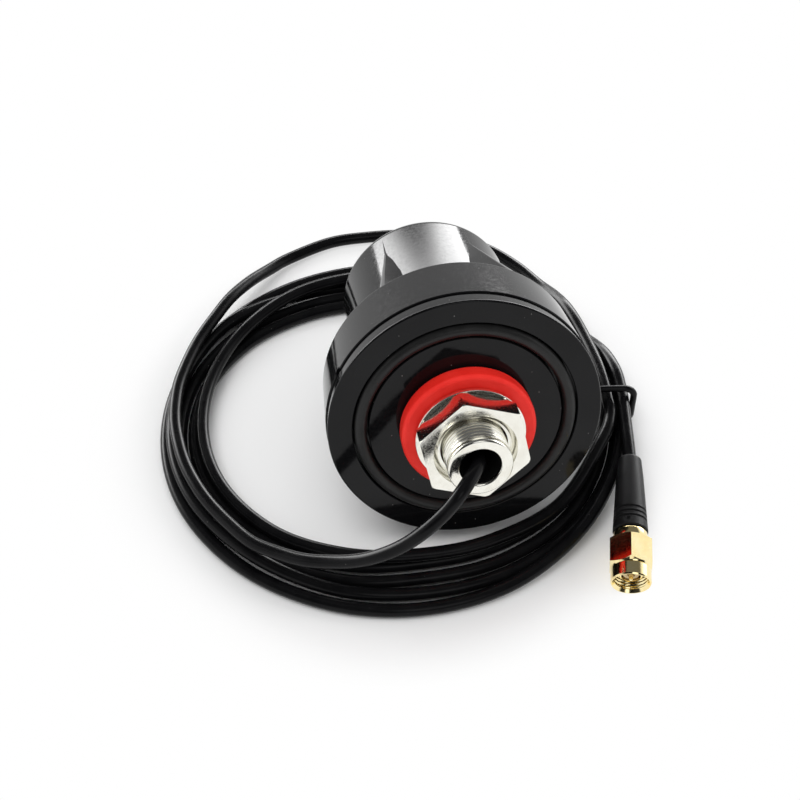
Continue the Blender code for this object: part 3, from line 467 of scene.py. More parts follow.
def hexagon(flat, limit=None):
    """Radius of a hexagon with a corner at angle 0, cut back to the limit at its corners."""
    def radius(angle):
        from_corner = (angle + pi / 6) % (pi / 3) - pi / 6
        reach = flat / cos(pi / 6 - abs(from_corner))
        return reach if limit is None else min(reach, limit)
    return radius


def hexagon_chamfer(flat, start_r, edge, inward):
    """Offset at which a cone from the end face cuts each point of a hexagon's sides."""
    side = hexagon(flat)
    return lambda angle: edge + inward * max(0.0, side(angle) - start_r) * CHAMFER_SLOPE


def thread(crest_r, depth, pitch, start, end, fade, inside=False):
    """Rows of a helical round thread between two offsets, fading out at both ends."""
    rows = []
    count = round((end - start) / (pitch / THREAD_ROWS_PER_TURN))
    sign = 1.0 if inside else -1.0
    for row in range(count + 1):
        offset = start + (end - start) * row / count
        strength = min(1.0, (offset - start) / fade, (end - offset) / fade)

        def radius(angle, offset=offset, strength=strength):
            ridge = 0.5 + 0.5 * cos(2 * pi * offset / pitch + angle)
            return crest_r + sign * depth * max(0.0, strength) * (1.0 - ridge)

        rows.append((radius, offset))
    return rows


def cut(made, bm, operation, place):
    """Applies a Boolean of a helper solid to a piece."""
    helper = add_object("helper", mesh_of(bm, "helper", place))
    modifier = made.modifiers.new("cut", "BOOLEAN")
    modifier.operation = operation
    modifier.solver = "EXACT"
    modifier.object = helper
    bpy.context.view_layer.update()
    evaluated = made.evaluated_get(bpy.context.evaluated_depsgraph_get())
    result = bpy.data.meshes.new_from_object(evaluated)
    made.modifiers.clear()
    made.data = result
    shade(result, SMOOTH_ANGLE)
    bpy.data.objects.remove(helper)


def smooth_curve(points, spacing):
    """Points about every spacing along a smooth curve through the given ones."""
    knots = [Vector(point) for point in points]
    padded = [knots[0] * 2 - knots[1], *knots, knots[-1] * 2 - knots[-2]]
    dense = []
    for i in range(1, len(padded) - 2):
        p0, p1, p2, p3 = padded[i - 1:i + 3]
        count = max(1, round((p2 - p1).length / spacing))
        for step in range(count):
            t = step / count
            dense.append(0.5 * (2 * p1 + (p2 - p0) * t + (2 * p0 - 5 * p1 + 4 * p2 - p3) * t ** 2
                                + (3 * p1 - p0 - 3 * p2 + p3) * t ** 3))
    dense.append(knots[-1])
    return dense


def cord_curve(name, points, radius, look, cyclic=False):
    """Round cord along the points, open or as a loop."""
    curve = bpy.data.curves.new(name, "CURVE")
    curve.dimensions = "3D"
    curve.bevel_depth = radius
    curve.bevel_resolution = 4
    curve.use_fill_caps = not cyclic
    spline = curve.splines.new("POLY")
    spline.points.add(len(points) - 1)
    for slot, point in zip(spline.points, points):
        slot.co = (*point, 1.0)
    spline.use_cyclic_u = cyclic
    spline.use_smooth = True
    curve.materials.append(look)
    return add_object(name, curve)


# Shader nodes


def connect(tree, node, inputs):
    """Links inputs, by name or index, to sockets, or sets them to plain values."""
    for key, value in inputs.items():
        if isinstance(value, bpy.types.NodeSocket):
            tree.links.new(value, node.inputs[key])
        else:
            node.inputs[key].default_value = value


def add_node(tree, kind, inputs):
    """New shader node with its inputs."""
    made = tree.nodes.new("ShaderNode" + kind)
    connect(tree, made, inputs)
    return made


def coordinates(tree, kind):
    """Position on the object, or direction in the world."""
    return tree.nodes.new("ShaderNodeTexCoord").outputs[kind]


def noise(tree, position, scale, detail):
    """Soft random values around one half."""
    made = add_node(tree, "TexNoise", {
        "Vector": position, "Scale": scale, "Detail": detail, "Roughness": NOISE_ROUGHNESS,
    })
    return made.outputs["Fac"]


def map_range(tree, source, start, end, low, high, interpolation="LINEAR"):
    """The values from start to end taken to low and high, and held there beyond."""
    made = add_node(tree, "MapRange", {
        "Value": source, "From Min": start, "From Max": end, "To Min": low, "To Max": high,
    })
    made.interpolation_type = interpolation
    return made.outputs["Result"]


def smooth_step(tree, source, start, end, low, high):
    """Like map_range, with soft ends."""
    return map_range(tree, source, start, end, low, high, "SMOOTHSTEP")


def combine(tree, operation, first, second):
    """Arithmetic on two numbers."""
    made = add_node(tree, "Math", {0: first, 1: second})
    made.operation = operation
    return made.outputs["Value"]


def compare(tree, operation, first, second):
    """Distance or dot product of two vectors."""
    made = add_node(tree, "VectorMath", {0: first, 1: second})
    made.operation = operation
    return made.outputs["Value"]


def opaque(colour):
    """Colour with full alpha."""
    return (*colour, 1.0)


def mix_colours(tree, factor, first, second):
    """Blend of two colours."""
    made = tree.nodes.new("ShaderNodeMix")
    made.data_type = "RGBA"
    connect(tree, made, {"Factor": factor, MIX_FIRST: first, MIX_SECOND: second})
    return made.outputs[MIX_RESULT]


def mix_shaders(tree, factor, first, second):
    """Blend of two shaders."""
    return add_node(tree, "MixShader", {"Fac": factor, 1: first, 2: second}).outputs["Shader"]


def bump(tree, height, distance, before=None):
    """Normal roughened by a height, on top of an earlier one if given."""
    inputs = {"Strength": 1.0, "Distance": distance, "Height": height}
    if before is not None:
        inputs["Normal"] = before
    return add_node(tree, "Bump", inputs).outputs["Normal"]


# Materials


# Each finish blends its two tones in patches and varies its roughness with a finer grain. Patch and grain
# are scales of noise, and bumps are in micrometres.
FINISHES = {
    "plastic": {
        "name": "gloss_black_moulding", "tones": ((0.0035, 0.0035, 0.004), (0.006, 0.006, 0.0065)),
        "roughness": (0.05, 0.12), "patch": 90.0, "grain": 1500.0, "grain_bump": 1.5,
        "specular": 0.20, "dust": 0.6,
    },
    "seal": {
        "name": "matte_black_rubber", "tones": ((0.005, 0.005, 0.005), (0.010, 0.010, 0.010)),
        "roughness": (0.34, 0.52), "patch": 300.0, "grain": 5200.0, "grain_bump": 10.0,
        "specular": 0.36,
    },
    "cable": {
        "name": "satin_cable_jacket", "tones": ((0.0030, 0.0030, 0.0035), (0.006, 0.006, 0.0065)),
        "roughness": (0.19, 0.27), "patch": 160.0, "grain": 2600.0, "grain_bump": 1.5,
        "specular": 0.12, "dust": 0.3,
    },
    "boot": {
        "name": "moulded_boot_rubber", "tones": ((0.005, 0.005, 0.0055), (0.009, 0.009, 0.0095)),
        "roughness": (0.36, 0.50), "patch": 260.0, "grain": 4200.0, "grain_bump": 8.0,
        "specular": 0.18,
    },
    "red": {
        "name": "red_silicone_rubber", "tones": ((0.88, 0.020, 0.013), (0.96, 0.032, 0.022)),
        "roughness": (0.42, 0.58), "patch": 180.0, "grain": 3000.0, "grain_bump": 10.0,
        "specular": 0.3,
    },
    "nickel": {
        "name": "nickel_plated_brass", "tones": ((0.86, 0.84, 0.76), (0.93, 0.92, 0.85)),
        "roughness": (0.11, 0.22), "patch": 420.0, "grain": 2600.0, "grain_bump": 1.0,
        "metallic": 1.0, "axis": ANTENNA, "ring_pitch": 0.0005, "ring_bump": 0.8,
    },
    "gold": {
        "name": "gold_plated_brass", "tones": ((1.0, 0.81, 0.40), (1.0, 0.87, 0.50)),
        "roughness": (0.06, 0.15), "patch": 420.0, "grain": 2600.0, "grain_bump": 1.2,
        "metallic": 1.0, "axis": CONNECTOR, "ring_pitch": 0.0004, "ring_bump": 1.2,
    },
    "brass": {
        "name": "brass_sheet_metal", "tones": ((0.62, 0.44, 0.18), (0.76, 0.56, 0.26)),
        "roughness": (0.22, 0.40), "patch": 260.0, "grain": 3200.0, "grain_bump": 6.0,
        "metallic": 1.0,
    },
    "tinned": {
        "name": "tinned_sheet_steel", "tones": ((0.54, 0.54, 0.52), (0.68, 0.68, 0.66)),
        "roughness": (0.22, 0.42), "patch": 220.0, "grain": 3600.0, "grain_bump": 6.0,
        "metallic": 1.0,
    },
    "copper": {
        "name": "bare_copper_wire", "tones": ((0.72, 0.34, 0.20), (0.86, 0.48, 0.30)),
        "roughness": (0.20, 0.36), "patch": 300.0, "grain": 3600.0, "grain_bump": 5.0,
        "metallic": 1.0,
    },
    "board": {
        "name": "glass_epoxy_laminate", "tones": ((0.045, 0.13, 0.05), (0.075, 0.20, 0.08)),
        "roughness": (0.34, 0.52), "patch": 700.0, "grain": 3000.0, "grain_bump": 8.0,
    },
    # The insulator is white, and these orange-brown tones are painted reflection of the gold round it and
    # painted shade deep in the plug
    "white": {
        "name": "plug_dielectric_painted_gold_reflection", "tones": ((0.74, 0.58, 0.34), (0.84, 0.68, 0.42)),
        "roughness": (0.36, 0.50), "patch": 300.0, "grain": 3600.0, "grain_bump": 4.0,
    },
}


def new_material(name):
    """Material with its node tree and main shader."""
    made = bpy.data.materials.new(name)
    made.use_nodes = True
    return made, made.node_tree, made.node_tree.nodes["Principled BSDF"]


def dusted(tree, position, colour, amount):
    """Colour with small pale specks."""
    cells = add_node(tree, "TexVoronoi", {"Vector": position, "Scale": DUST_SCALE})
    speck = map_range(tree, cells.outputs["Distance"], *DUST_REACH, amount, 0.0)
    return mix_colours(tree, speck, colour, opaque(DUST_COLOUR))


def turning_marks(tree, position, axis, pitch):
    """Fine rings about an axis, as left by a lathe."""
    local = add_node(tree, "Mapping", {
        "Vector": position, "Location": axis.to_translation(), "Rotation": axis.to_euler(),
    })
    local.vector_type = "TEXTURE"
    rings = add_node(tree, "TexWave", {
        "Vector": local.outputs["Vector"], "Scale": WAVE_SCALE_PER_RING / pitch,
        "Distortion": WAVE_DISTORTION,
    })
    rings.wave_type = "RINGS"
    rings.rings_direction = "Z"
    return rings.outputs["Fac"]


def finish_material(name, tones, roughness, patch, grain, grain_bump, metallic=0.0, specular=0.5,
                    dust=0.0, axis=None, ring_pitch=None, ring_bump=None):
    """Surface with patchy colour and roughness, a fine grain, and turning marks about an axis if given."""
    made, tree, shader = new_material(name)
    position = coordinates(tree, "Object")
    patches = map_range(tree, noise(tree, position, patch, PATCH_DETAIL), *NOISE_RANGE, 0.0, 1.0)
    grains = noise(tree, position, grain, GRAIN_DETAIL)
    dark, light = tones
    colour = mix_colours(tree, patches, opaque(dark), opaque(light))
    if dust > 0.0:
        colour = dusted(tree, position, colour, dust)
    normal = bump(tree, grains, grain_bump * MICROMETRE)
    if axis is not None:
        marks = turning_marks(tree, position, axis, ring_pitch)
        normal = bump(tree, marks, ring_bump * MICROMETRE, normal)
    connect(tree, shader, {
        "Base Color": colour, "Roughness": map_range(tree, grains, *NOISE_RANGE, *roughness),
        "Normal": normal, "Metallic": metallic, "Specular IOR Level": specular,
    })
    return made


def make_materials():
    """The material of each look."""
    return {look: finish_material(**finish) for look, finish in FINISHES.items()}


# Camera, floor and light


def make_camera():
    """Camera at the photograph's angle."""
    data = bpy.data.cameras.new("camera")
    data.lens = CAMERA_LENS
    data.sensor_width = CAMERA_SENSOR
    data.clip_start = CAMERA_CLIP_START
    camera = add_object("camera", data)
    camera.location = CAMERA_AT
    look = Vector(CAMERA_AIM) - Vector(CAMERA_AT)
    camera.rotation_euler = look.to_track_quat("-Z", "Y").to_euler()
    bpy.context.scene.camera = camera


def seen_directly(tree):
    """1 for what the camera sees, straight or in a mirror, and 0 for light that falls on surfaces."""
    path = tree.nodes.new("ShaderNodeLightPath")
    return combine(tree, "MAXIMUM", path.outputs["Is Camera Ray"], path.outputs["Is Glossy Ray"])


def make_floor():
    """Pale paper, seen as lit near the object and as plain white further out."""
    bm = bmesh.new()
    bmesh.ops.create_grid(bm, x_segments=1, y_segments=1, size=FLOOR_SIZE)
    mesh = bpy.data.meshes.new("floor")
    bm.to_mesh(mesh)
    bm.free()
    paper, tree, shader = new_material("floor_paper")
    connect(tree, shader, {
        "Base Color": opaque(PAPER_COLOUR), "Roughness": PAPER_ROUGHNESS,
        "Specular IOR Level": PAPER_SPECULAR,
    })
    away = compare(tree, "DISTANCE", coordinates(tree, "Object"), (*COIL_CENTRE, 0.0))
    far = smooth_step(tree, away, *FLOOR_FADE, 0.0, 1.0)
    shown = combine(tree, "MULTIPLY", far, seen_directly(tree))
    white = add_node(tree, "Emission", {"Strength": 1.0})
    surface = mix_shaders(tree, shown, shader.outputs["BSDF"], white.outputs["Emission"])
    connect(tree, tree.nodes["Material Output"], {"Surface": surface})
    mesh.materials.append(paper)
    floor = add_object("floor", mesh)


def add_softbox(name, at, size, power):
    """Rectangular lamp aimed at the object, left out of its mirror images."""
    data = bpy.data.lights.new(name, "AREA")
    data.shape = "RECTANGLE"
    data.size, data.size_y = size
    data.energy = power
    lamp = add_object(name, data)
    lamp.location = at
    lamp.rotation_euler = (-Vector(at)).to_track_quat("-Z", "Y").to_euler()
    lamp.visible_glossy = False


def mirrored_room(tree):
    """Brightness of the room that gloss mirrors, in every direction."""
    direction = coordinates(tree, "Generated")
    aside, behind, height = add_node(tree, "SeparateXYZ", {"Vector": direction}).outputs
    ceiling = smooth_step(tree, height, *ROOM_HEIGHTS, 1.0, ROOM_DARK)
    front_wall = smooth_step(tree, height, *FRONT_HEIGHTS, 1.0, FRONT_DARK)
    past_front = smooth_step(tree, behind, *FRONT_HALF, 0.0, 1.0)
    walls = combine(tree, "MULTIPLY", ceiling, combine(tree, "MAXIMUM", front_wall, past_front))
    sag = combine(tree, "MULTIPLY", combine(tree, "MULTIPLY", aside, aside), WINDOW_SAG)
    above_foot = smooth_step(
        tree, combine(tree, "ADD", height, sag), *WINDOW_FOOT, 0.0, WINDOW_STRENGTH)
    below_head = smooth_step(tree, height, *WINDOW_HEAD, 1.0, 0.0)
    at_back = smooth_step(tree, behind, *BACK_HALF, 0.0, 1.0)
    window = combine(tree, "MULTIPLY", combine(tree, "MULTIPLY", above_foot, below_head), at_back)
    to_lamp = compare(tree, "DOT_PRODUCT", direction, FRONT_LAMP)
    lamp = smooth_step(tree, to_lamp, *FRONT_LAMP_EDGE, 0.0, FRONT_LAMP_STRENGTH)
    return combine(tree, "ADD", combine(tree, "ADD", walls, window), lamp)


def background(tree, strength):
    """White surroundings of a strength."""
    return add_node(tree, "Background", {"Color": WHITE, "Strength": strength}).outputs["Background"]


def make_light():
    """Even light, the room that gloss mirrors, the white that the camera sees, and the soft lamps."""
    world = bpy.data.worlds.new("studio")
    world.use_nodes = True
    tree = world.node_tree
    tree.nodes.clear()
    path = tree.nodes.new("ShaderNodeLightPath").outputs
    mirrored = background(tree, mirrored_room(tree))
    falling = mix_shaders(tree, path["Is Glossy Ray"], background(tree, FILL_STRENGTH), mirrored)
    surroundings = mix_shaders(tree, path["Is Camera Ray"], falling, background(tree, 1.0))
    add_node(tree, "OutputWorld", {"Surface": surroundings})
    bpy.context.scene.world = world
    for softbox in SOFTBOXES:
        add_softbox(*softbox)


# Antenna


def make_cover(looks):
    """Cover with its flange, cap and ribs, and the notch in its rim."""
    inner_shoulder = WALL - SHOULDER
    profile = [
        (COVER_INNER_R, COVER_OPEN), (BASE_R - EDGE_ROUND / 2, COVER_OPEN),
        (BASE_R, COVER_OPEN - EDGE_ROUND / 2),
        *arc(FLANGE_R - FLANGE_ROUND, FLANGE_ROUND - SHOULDER, FLANGE_ROUND, 0.0, -90.0, 6),
        *arc(CAP_R + CAP_FILLET, -SHOULDER - CAP_FILLET, CAP_FILLET, 90.0, 180.0, 10),
        *arc(CAP_R - CAP_ROUND, CAP_ROUND - OVERALL, CAP_ROUND, 0.0, -90.0, 12),
        (0.0, -OVERALL), (0.0, WALL - OVERALL), (CAP_R - WALL, WALL - OVERALL),
        (CAP_R - WALL, inner_shoulder), (COVER_INNER_R, inner_shoulder),
    ]
    cover = add_piece(turned(profile, SIDES), "cover", ANTENNA, looks["plastic"])
    ribs = bmesh.new()
    for rib in range(RIB_COUNT):
        add_rib(ribs, radians(RIB_FIRST_ANGLE + 360.0 * rib / RIB_COUNT))
    cut(cover, ribs, "UNION", ANTENNA)
    notch = bmesh.new()
    half = NOTCH_SIZE / 2
    loft(notch, [
        [(reach, across, along) for across, along in (
            (-half, COVER_OPEN - half), (half, COVER_OPEN - half),
            (half, COVER_OPEN + NOTCH_SIZE), (-half, COVER_OPEN + NOTCH_SIZE))]
        for reach in (BASE_R - half, BASE_R + NOTCH_SIZE)
    ])
    turn = Matrix.Rotation(radians(NOTCH_ANGLE), 4, "Z")
    cut(cover, notch, "DIFFERENCE", ANTENNA @ turn)
    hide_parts("radome_cover")


def add_rib(bm, angle):
    """Buttress whose rounded ridge falls from the cap's wall to the flange's edge."""
    slope = (RIB_FOOT_R - CAP_R) / (RIB_TOP - SHOULDER)
    root_r = CAP_R - WALL / 2
    sections = []
    for depth, root_half, ridge_half in RIB_SECTIONS:
        ridge_r = min(CAP_R + slope * (RIB_TOP - depth), RIB_FOOT_R)
        outline = [(root_r, -root_half)]
        for step in range(RIB_RIDGE_STEPS + 1):
            turn = radians(-90.0 + 180.0 * step / RIB_RIDGE_STEPS)
            outline.append((ridge_r - RIB_RIDGE_ROUND * (1 - cos(turn)), ridge_half * sin(turn)))
        outline.append((root_r, root_half))
        section = []
        for reach, aside in outline:
            x = reach * cos(angle) - aside * sin(angle)
            y = reach * sin(angle) + aside * cos(angle)
            section.append((x, y, -depth))
        sections.append(section)
    loft(bm, sections)


def make_base(looks):
    """Base plate with the grooves of both rubber rings, the stud's pocket and the screws' posts."""
    groove_in = SEAL_R - SEAL_CORD / 2 - GAP
    groove_out = SEAL_R + SEAL_CORD / 2 + GAP
    groove_floor = -(SEAL_CORD - SEAL_PROUD + GAP)
    spigot_r = COVER_INNER_R - GAP
    seal_front = COVER_SEAL_HALF - COVER_SEAL_DEPTH
    seal_back = -COVER_SEAL_HALF - COVER_SEAL_DEPTH
    pocket = hexagon(STUD_HEAD_FLAT + GAP)
    profile = [
        (STUD_HOLE_R, 0.0), (groove_in - BASE_LIP, 0.0), (groove_in, -BASE_LIP),
        (groove_in, groove_floor), (groove_out, groove_floor), (groove_out, -BASE_LIP),
        (groove_out + BASE_LIP, 0.0),
        *arc(BASE_R - EDGE_ROUND, -EDGE_ROUND, EDGE_ROUND, 90.0, 0.0, 6),
        *arc(BASE_R - BASE_DRAFT - BASE_LIP, -BASE_WEB + BASE_LIP, BASE_LIP, 0.0, -90.0, 3),
        (spigot_r, -BASE_WEB), (spigot_r, seal_front), (COVER_SEAL_FLOOR_R, seal_front),
        (COVER_SEAL_FLOOR_R, seal_back), (spigot_r, seal_back), (spigot_r, SPIGOT_END),
        (spigot_r - SPIGOT_WALL, SPIGOT_END), (spigot_r - SPIGOT_WALL, -BASE_WEB),
        (BOSS_R, -BASE_WEB), (BOSS_R, BOSS_TOP), (pocket, BOSS_TOP), (pocket, -BASE_WEB),
        (STUD_HOLE_R, -BASE_WEB),
    ]
    base = add_piece(turned(profile, SIDES), "base", ANTENNA, looks["plastic"])
    posts = bmesh.new()
    for post in range(POST_COUNT):
        angle = radians(POST_FIRST_ANGLE + 360.0 * post / POST_COUNT)
        circle = arc(POST_RING_R * cos(angle), POST_RING_R * sin(angle), POST_R, 0.0, 360.0, POST_SIDES)
        loft(posts, [[(x, y, height) for x, y in circle[:-1]] for height in (BOSS_TOP, -BASE_WEB / 2)])
    cut(base, posts, "UNION", ANTENNA)
    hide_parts("base_plate")


def make_seal(looks):
    """Rubber ring of the mounting face."""
    circle = arc(SEAL_R, SEAL_PROUD - SEAL_CORD / 2, SEAL_CORD / 2, 0.0, 360.0, SEAL_SIDES)
    seal = add_piece(turned(circle[:-1], SIDES), "face_seal", ANTENNA, looks["seal"])
    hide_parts("face_seal_ring")


def make_stud(looks):
    """Hollow threaded stud with its hexagon head, and painted shade in its bore."""
    head = hexagon(STUD_HEAD_FLAT)
    mouth_depth = STUD_MOUTH_R - STUD_BORE_R
    profile = [
        (STUD_BORE_R, BOSS_TOP), (head, BOSS_TOP), (head, COVER_OPEN), (STUD_R, COVER_OPEN),
        *thread(STUD_R, THREAD_DEPTH, THREAD_PITCH, *STUD_THREAD, fade=THREAD_FADE),
        (STUD_R, STUD_LENGTH - STUD_CHAMFER),
        *arc(STUD_R - STUD_CHAMFER, STUD_LENGTH - STUD_CHAMFER, STUD_CHAMFER, 20.0, 90.0, 5),
        (STUD_MOUTH_R, STUD_LENGTH), (STUD_BORE_R, STUD_LENGTH - mouth_depth),
    ]
    bm = turned(profile, FINE_SIDES)
    # Faces inside the bore take the black rubber as painted shade, for the shade that falls down the hole
    for face in bm.faces:
        reach = max(vert.co.xy.length for vert in face.verts)
        face.material_index = int(reach < STUD_BORE_R + GAP)
    stud = add_piece(bm, "stud", ANTENNA, looks["nickel"], smooth_angle=STUD_SMOOTH_ANGLE)
    stud.data.materials.append(looks["seal"])
    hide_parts("threaded_stud")


def make_gasket(looks):
    """Red gasket with a soft rim."""
    profile = disc(GASKET, GASKET_R, GASKET_ROUND, steps=8)
    gasket = add_piece(turned(profile, SIDES), "gasket", ANTENNA, looks["red"])
    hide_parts("mount_gasket")


def make_washer(looks):
    """Flat washer between gasket and nut."""
    profile = disc(WASHER, WASHER_R, WASHER_ROUND, steps=3)
    washer = add_piece(turned(profile, SIDES), "washer", ANTENNA, looks["nickel"])
    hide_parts("flat_washer")


def make_nut(looks):
    """Hexagon nut, chamfered on both faces and countersunk in two steps."""
    low, high = NUT
    side = hexagon(NUT_FLAT)
    front_rim = hexagon(NUT_FLAT, NUT_FRONT_FACE_R)
    rear_rim = hexagon(NUT_FLAT, NUT_REAR_FACE_R)
    profile = [
        (STUD_HOLE_R, low), (rear_rim, low),
        (side, hexagon_chamfer(NUT_FLAT, NUT_REAR_FACE_R, low + NUT_EDGE, 1.0)),
        (side, hexagon_chamfer(NUT_FLAT, NUT_FRONT_FACE_R, high - NUT_EDGE, -1.0)), (front_rim, high),
        (NUT_COUNTERSINK_R, high), (NUT_STEP_R, high - NUT_COUNTERSINK_DEPTH),
        (NUT_STEP_R, high - NUT_STEP_DEPTH), (STUD_HOLE_R, high - NUT_STEP_DEPTH),
    ]
    bm = turned(profile, SIDES, NUT_CORNER_ANGLE)
    nut = add_piece(bm, "nut", ANTENNA, looks["nickel"], smooth_angle=HEXAGON_SMOOTH_ANGLE)
    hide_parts("mount_nut")


# Lead, tie and connector


def coil_point(direction, spot):
    """Point of a turn in a direction from the coil's centre, its radius and height in millimetres."""
    radius, height = (millimetres / 1000 for millimetres in spot)
    angle = radians(direction)
    x = COIL_CENTRE[0] + radius * cos(angle)
    y = COIL_CENTRE[1] + radius * sin(angle)
    return Vector((x, y, height))


def lead_points():
    """Centre line of the whole lead, from inside the stud to inside the boot."""
    points = [on_axis(ANTENNA, offset) for offset in LEAD_START]
    points += [Vector(point) for point in LEAD_ROUTE]
    turns = len(COIL_ROWS[0]) - 1
    for turn in range(turns):
        for direction, *spots in COIL_ROWS:
            if turn == 0 and direction > COIL_START:
                continue
            points.append(coil_point(direction, spots[turn]))
    points.append(coil_point(*LAST_RISE))
    points += [Vector(point) for point in TAIL_ROUTE]
    points += [on_axis(CONNECTOR, depth) for depth in TAIL_DEPTHS]
    return points


def make_lead(looks):
    """The lead as one cord."""
    points = smooth_curve(lead_points(), LEAD_SPACING)
    lead = cord_curve("lead", points, LEAD_D / 2, looks["cable"])
    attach(lead, "antenna")
    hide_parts("lead_out", "cable_coil", "lead_tail")
    return lead


def make_tie(looks):
    """Thin round tie in a rounded loop that stands across the coil."""
    outward = Vector((cos(radians(TIE_ANGLE)), sin(radians(TIE_ANGLE)), 0.0))
    spot = Vector((*COIL_CENTRE, 0.0)) + outward * TIE_CENTRE_R
    half_w = TIE_OPENING[0] / 2 + TIE_CORD_R
    half_h = TIE_OPENING[1] / 2 + TIE_CORD_R
    middle = TIE_CORD_R + half_h
    loop = []
    for quarter, (across_sign, up_sign) in enumerate(((1, 1), (-1, 1), (-1, -1), (1, -1))):
        for step in range(TIE_CORNER_STEPS + 1):
            angle = radians(90.0 * quarter + 90.0 * step / TIE_CORNER_STEPS)
            across = across_sign * (half_w - TIE_CORNER) + TIE_CORNER * cos(angle)
            up = middle + up_sign * (half_h - TIE_CORNER) + TIE_CORNER * sin(angle)
            loop.append(spot + outward * across + Vector((0.0, 0.0, up)))
    tie = cord_curve("tie", loop, TIE_CORD_R, looks["cable"], cyclic=True)
    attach(tie, "antenna")
    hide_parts("cable_tie")
    return tie


def boot_radius(depth):
    """Radius of the boot, which tapers faster up to its bend than beyond it."""
    start, end = BOOT
    wide, middle, narrow = BOOT_RADII
    if depth < BOOT_BEND_DEPTH:
        return wide + (middle - wide) * (depth - start) / (BOOT_BEND_DEPTH - start)
    return middle + (narrow - middle) * (depth - BOOT_BEND_DEPTH) / (end - BOOT_BEND_DEPTH)


def make_boot(looks):
    """Tapered boot with grooves round its wide end and a small moulded dot."""
    start, end = BOOT
    rows = [
        (BOOT_CRIMP_R, start), (boot_radius(start) - BOOT_EDGE, start),
        (boot_radius(start), start + BOOT_EDGE),
    ]
    for groove in range(GROOVE_COUNT):
        middle = GROOVE_FIRST + groove * GROOVE_PITCH
        for share, depth in GROOVE_SHAPE:
            at = middle + share * GROOVE_W / 2
            rows.append((boot_radius(at) - depth * GROOVE_DEPTH, at))
    plain = GROOVE_FIRST + GROOVE_COUNT * GROOVE_PITCH
    for step in range(1, BOOT_ROWS + 1):
        at = plain + (BOOT_BEND_DEPTH - plain) * step / BOOT_ROWS
        rows.append((boot_radius(at), at))
    rows += [
        *arc(BOOT_RADII[2] - BOOT_END_ROUND, end - BOOT_END_ROUND, BOOT_END_ROUND, 0.0, 90.0, 6),
        (BOOT_BORE_R, end), (BOOT_BORE_R, BOOT_CRIMP_END), (BOOT_CRIMP_R, BOOT_CRIMP_END),
    ]
    boot = add_piece(turned(rows, FINE_SIDES), "boot", CONNECTOR, looks["boot"])
    dot = bmesh.new()
    bmesh.ops.create_cone(
        dot, cap_ends=True, segments=DOT_SIDES, radius1=DOT_R, radius2=DOT_R, depth=DOT_CUTTER_LENGTH)
    spot = Matrix.Translation((boot_radius(DOT_DEPTH) + DOT_CUTTER_RISE, 0.0, DOT_DEPTH))
    turn = Matrix.Rotation(radians(DOT_ANGLE), 4, "Z")
    cut(boot, dot, "DIFFERENCE", CONNECTOR @ turn @ spot @ Matrix.Rotation(pi / 2, 4, "Y"))
    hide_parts("strain_boot")
    return boot


def make_plug_body(looks):
    """Gold body: contact sleeve, shaft with the snap ring's groove, neck and crimp stub."""
    front, back = NECK
    groove_start, groove_end = BODY_GROOVE
    stub_end = back + STUB_LENGTH
    profile = [
        (SLEEVE_BORE_R, SLEEVE_DEPTH), (SLEEVE_R - PLUG_EDGE / 2, SLEEVE_DEPTH),
        (SLEEVE_R, SLEEVE_DEPTH + PLUG_EDGE / 2), (SLEEVE_R, BODY_FACE), (BODY_R, BODY_FACE),
        (BODY_R, groove_start), (BODY_GROOVE_R, groove_start), (BODY_GROOVE_R, groove_end),
        (BODY_R, groove_end), (BODY_R, front),
        *arc(NECK_R - PLUG_EDGE, front + PLUG_EDGE, PLUG_EDGE, -90.0, 0.0, 3),
        *arc(NECK_R - PLUG_EDGE, back - PLUG_EDGE, PLUG_EDGE, 0.0, 90.0, 3),
        (STUB_R, back), (STUB_R, stub_end), (0.0, stub_end), (0.0, BORE_END), (SLEEVE_BORE_R, BORE_END),
    ]
    body = add_piece(turned(profile, FINE_SIDES), "plug_body", CONNECTOR, looks["gold"])
    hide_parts("connector_body")
    return body


def make_coupling(looks):
    """Coupling nut: round nose, a nick, a chamfered hexagon, and a thread in its mouth."""
    side = hexagon(COUPLING_FLAT)
    shoulder = COUPLING_ROUND_LENGTH
    nose_inset, nose_depth = COUPLING_NOSE_EDGE
    clip_start, clip_end = CLIP_GROOVE
    inner_thread = thread(COUPLING_THREAD_R, COUPLING_THREAD_DEPTH, COUPLING_THREAD_PITCH,
                          *COUPLING_THREAD, fade=COUPLING_THREAD_FADE, inside=True)
    profile = [
        (COUPLING_MOUTH_R, 0.0), (COUPLING_R - nose_inset, 0.0), (COUPLING_R, nose_depth),
        (COUPLING_R, shoulder - 3 * COUPLING_NICK), (COUPLING_R - COUPLING_NICK, shoulder - COUPLING_NICK),
        (COUPLING_R, shoulder + COUPLING_NICK),
        (side, hexagon_chamfer(COUPLING_FLAT, COUPLING_R, shoulder + 2 * COUPLING_NICK, 1.0)),
        (side, hexagon_chamfer(COUPLING_FLAT, COUPLING_R, COUPLING_LENGTH, -1.0)),
        (COUPLING_R - 2 * COUPLING_NICK, COUPLING_LENGTH), (RUNNING_R, COUPLING_LENGTH),
        (RUNNING_R, clip_end), (CLIP_R, clip_end), (CLIP_R, clip_start), (RUNNING_R, clip_start),
        (RUNNING_R, COUPLING_BORE_STEP), *reversed(inner_thread),
    ]
    bm = turned(profile, FINE_SIDES, COUPLING_CORNER_ANGLE)
    coupling = add_piece(
        bm, "coupling", CONNECTOR, looks["gold"], "coupling", smooth_angle=HEXAGON_SMOOTH_ANGLE)
    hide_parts("coupling_nut")
    return coupling


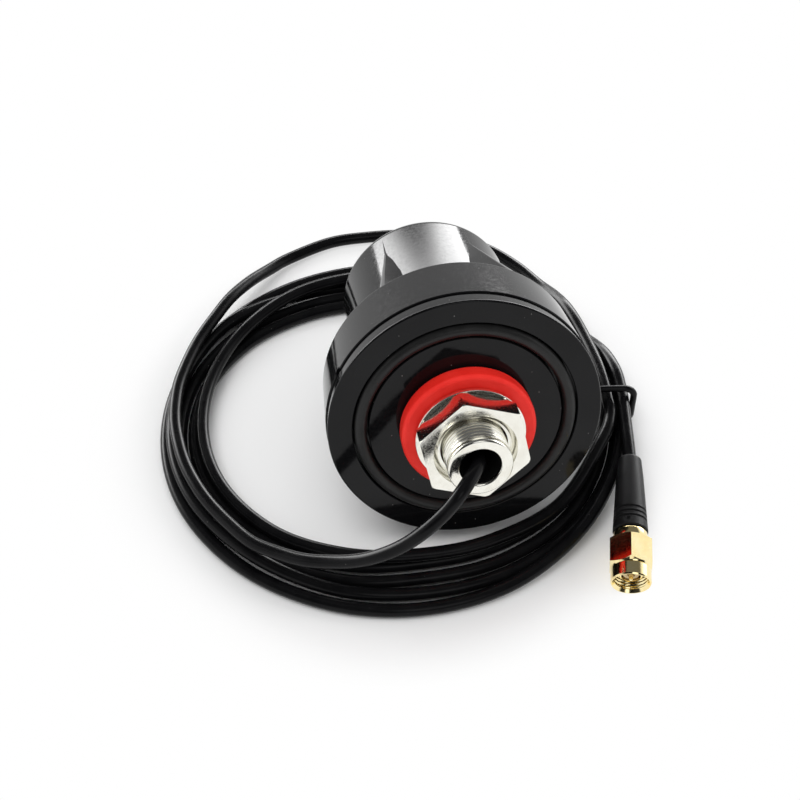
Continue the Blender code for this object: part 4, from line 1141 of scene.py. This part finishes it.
def make_plug_inside(looks):
    """Insulator and centre pin."""
    dielectric_profile = [
        (DIELECTRIC_HOLE_R, DIELECTRIC_DEPTH), (DIELECTRIC_R - PIN_EDGE, DIELECTRIC_DEPTH),
        (DIELECTRIC_R, DIELECTRIC_DEPTH + PIN_EDGE), (DIELECTRIC_R, INSIDE_END),
        (DIELECTRIC_HOLE_R, INSIDE_END),
    ]
    dielectric = add_piece(
        turned(dielectric_profile, FINE_SIDES), "plug_dielectric", CONNECTOR, looks["white"])
    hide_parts("connector_dielectric")
    pin_profile = [
        (0.0, PIN_DEPTH), *arc(PIN_R / 3, PIN_DEPTH + 2 * PIN_EDGE, 2 * PIN_EDGE, -90.0, -30.0, 4),
        (PIN_R, PIN_DEPTH + 6 * PIN_EDGE), (PIN_R, INSIDE_END), (0.0, INSIDE_END),
    ]
    pin = add_piece(turned(pin_profile, PIN_SIDES), "plug_pin", CONNECTOR, looks["gold"])
    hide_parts("centre_pin")
    return [dielectric, pin]


# The whole scene


def dress_solids(frame, looks):
    """Materials of the solids that show as they are."""
    for node, look in SOLID_FINISHES.items():
        for slot in frame["nodes"][node].material_slots:
            slot.material = looks[look]


def even_shading(frame):
    """Normals weighted by face area, so that long plain faces mirror evenly up to their edges."""
    solids = set(frame["nodes"].values())
    for made in bpy.context.scene.objects:
        if made.type == "MESH" and made not in solids:
            made.modifiers.new("even_normals", "WEIGHTED_NORMAL").keep_sharp = True


def main():
    """Builds the dressed antenna and its surroundings."""
    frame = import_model()
    make_camera()
    looks = make_materials()
    lead = make_lead(looks)
    on_lead = [make_tie(looks), make_boot(looks), make_plug_body(looks), make_coupling(looks)]
    on_lead += make_plug_inside(looks)
    on_lead += [frame["nodes"][node] for node in ("crimp_ferrule", "connector_gasket", "retaining_ring")]
    for make in (make_cover, make_base, make_seal, make_stud, make_gasket, make_washer, make_nut):
        make(looks)
    dress_solids(frame, looks)
    even_shading(frame)
    make_floor()
    make_light()
    bpy.context.scene.view_settings.view_transform = "Standard"


main()
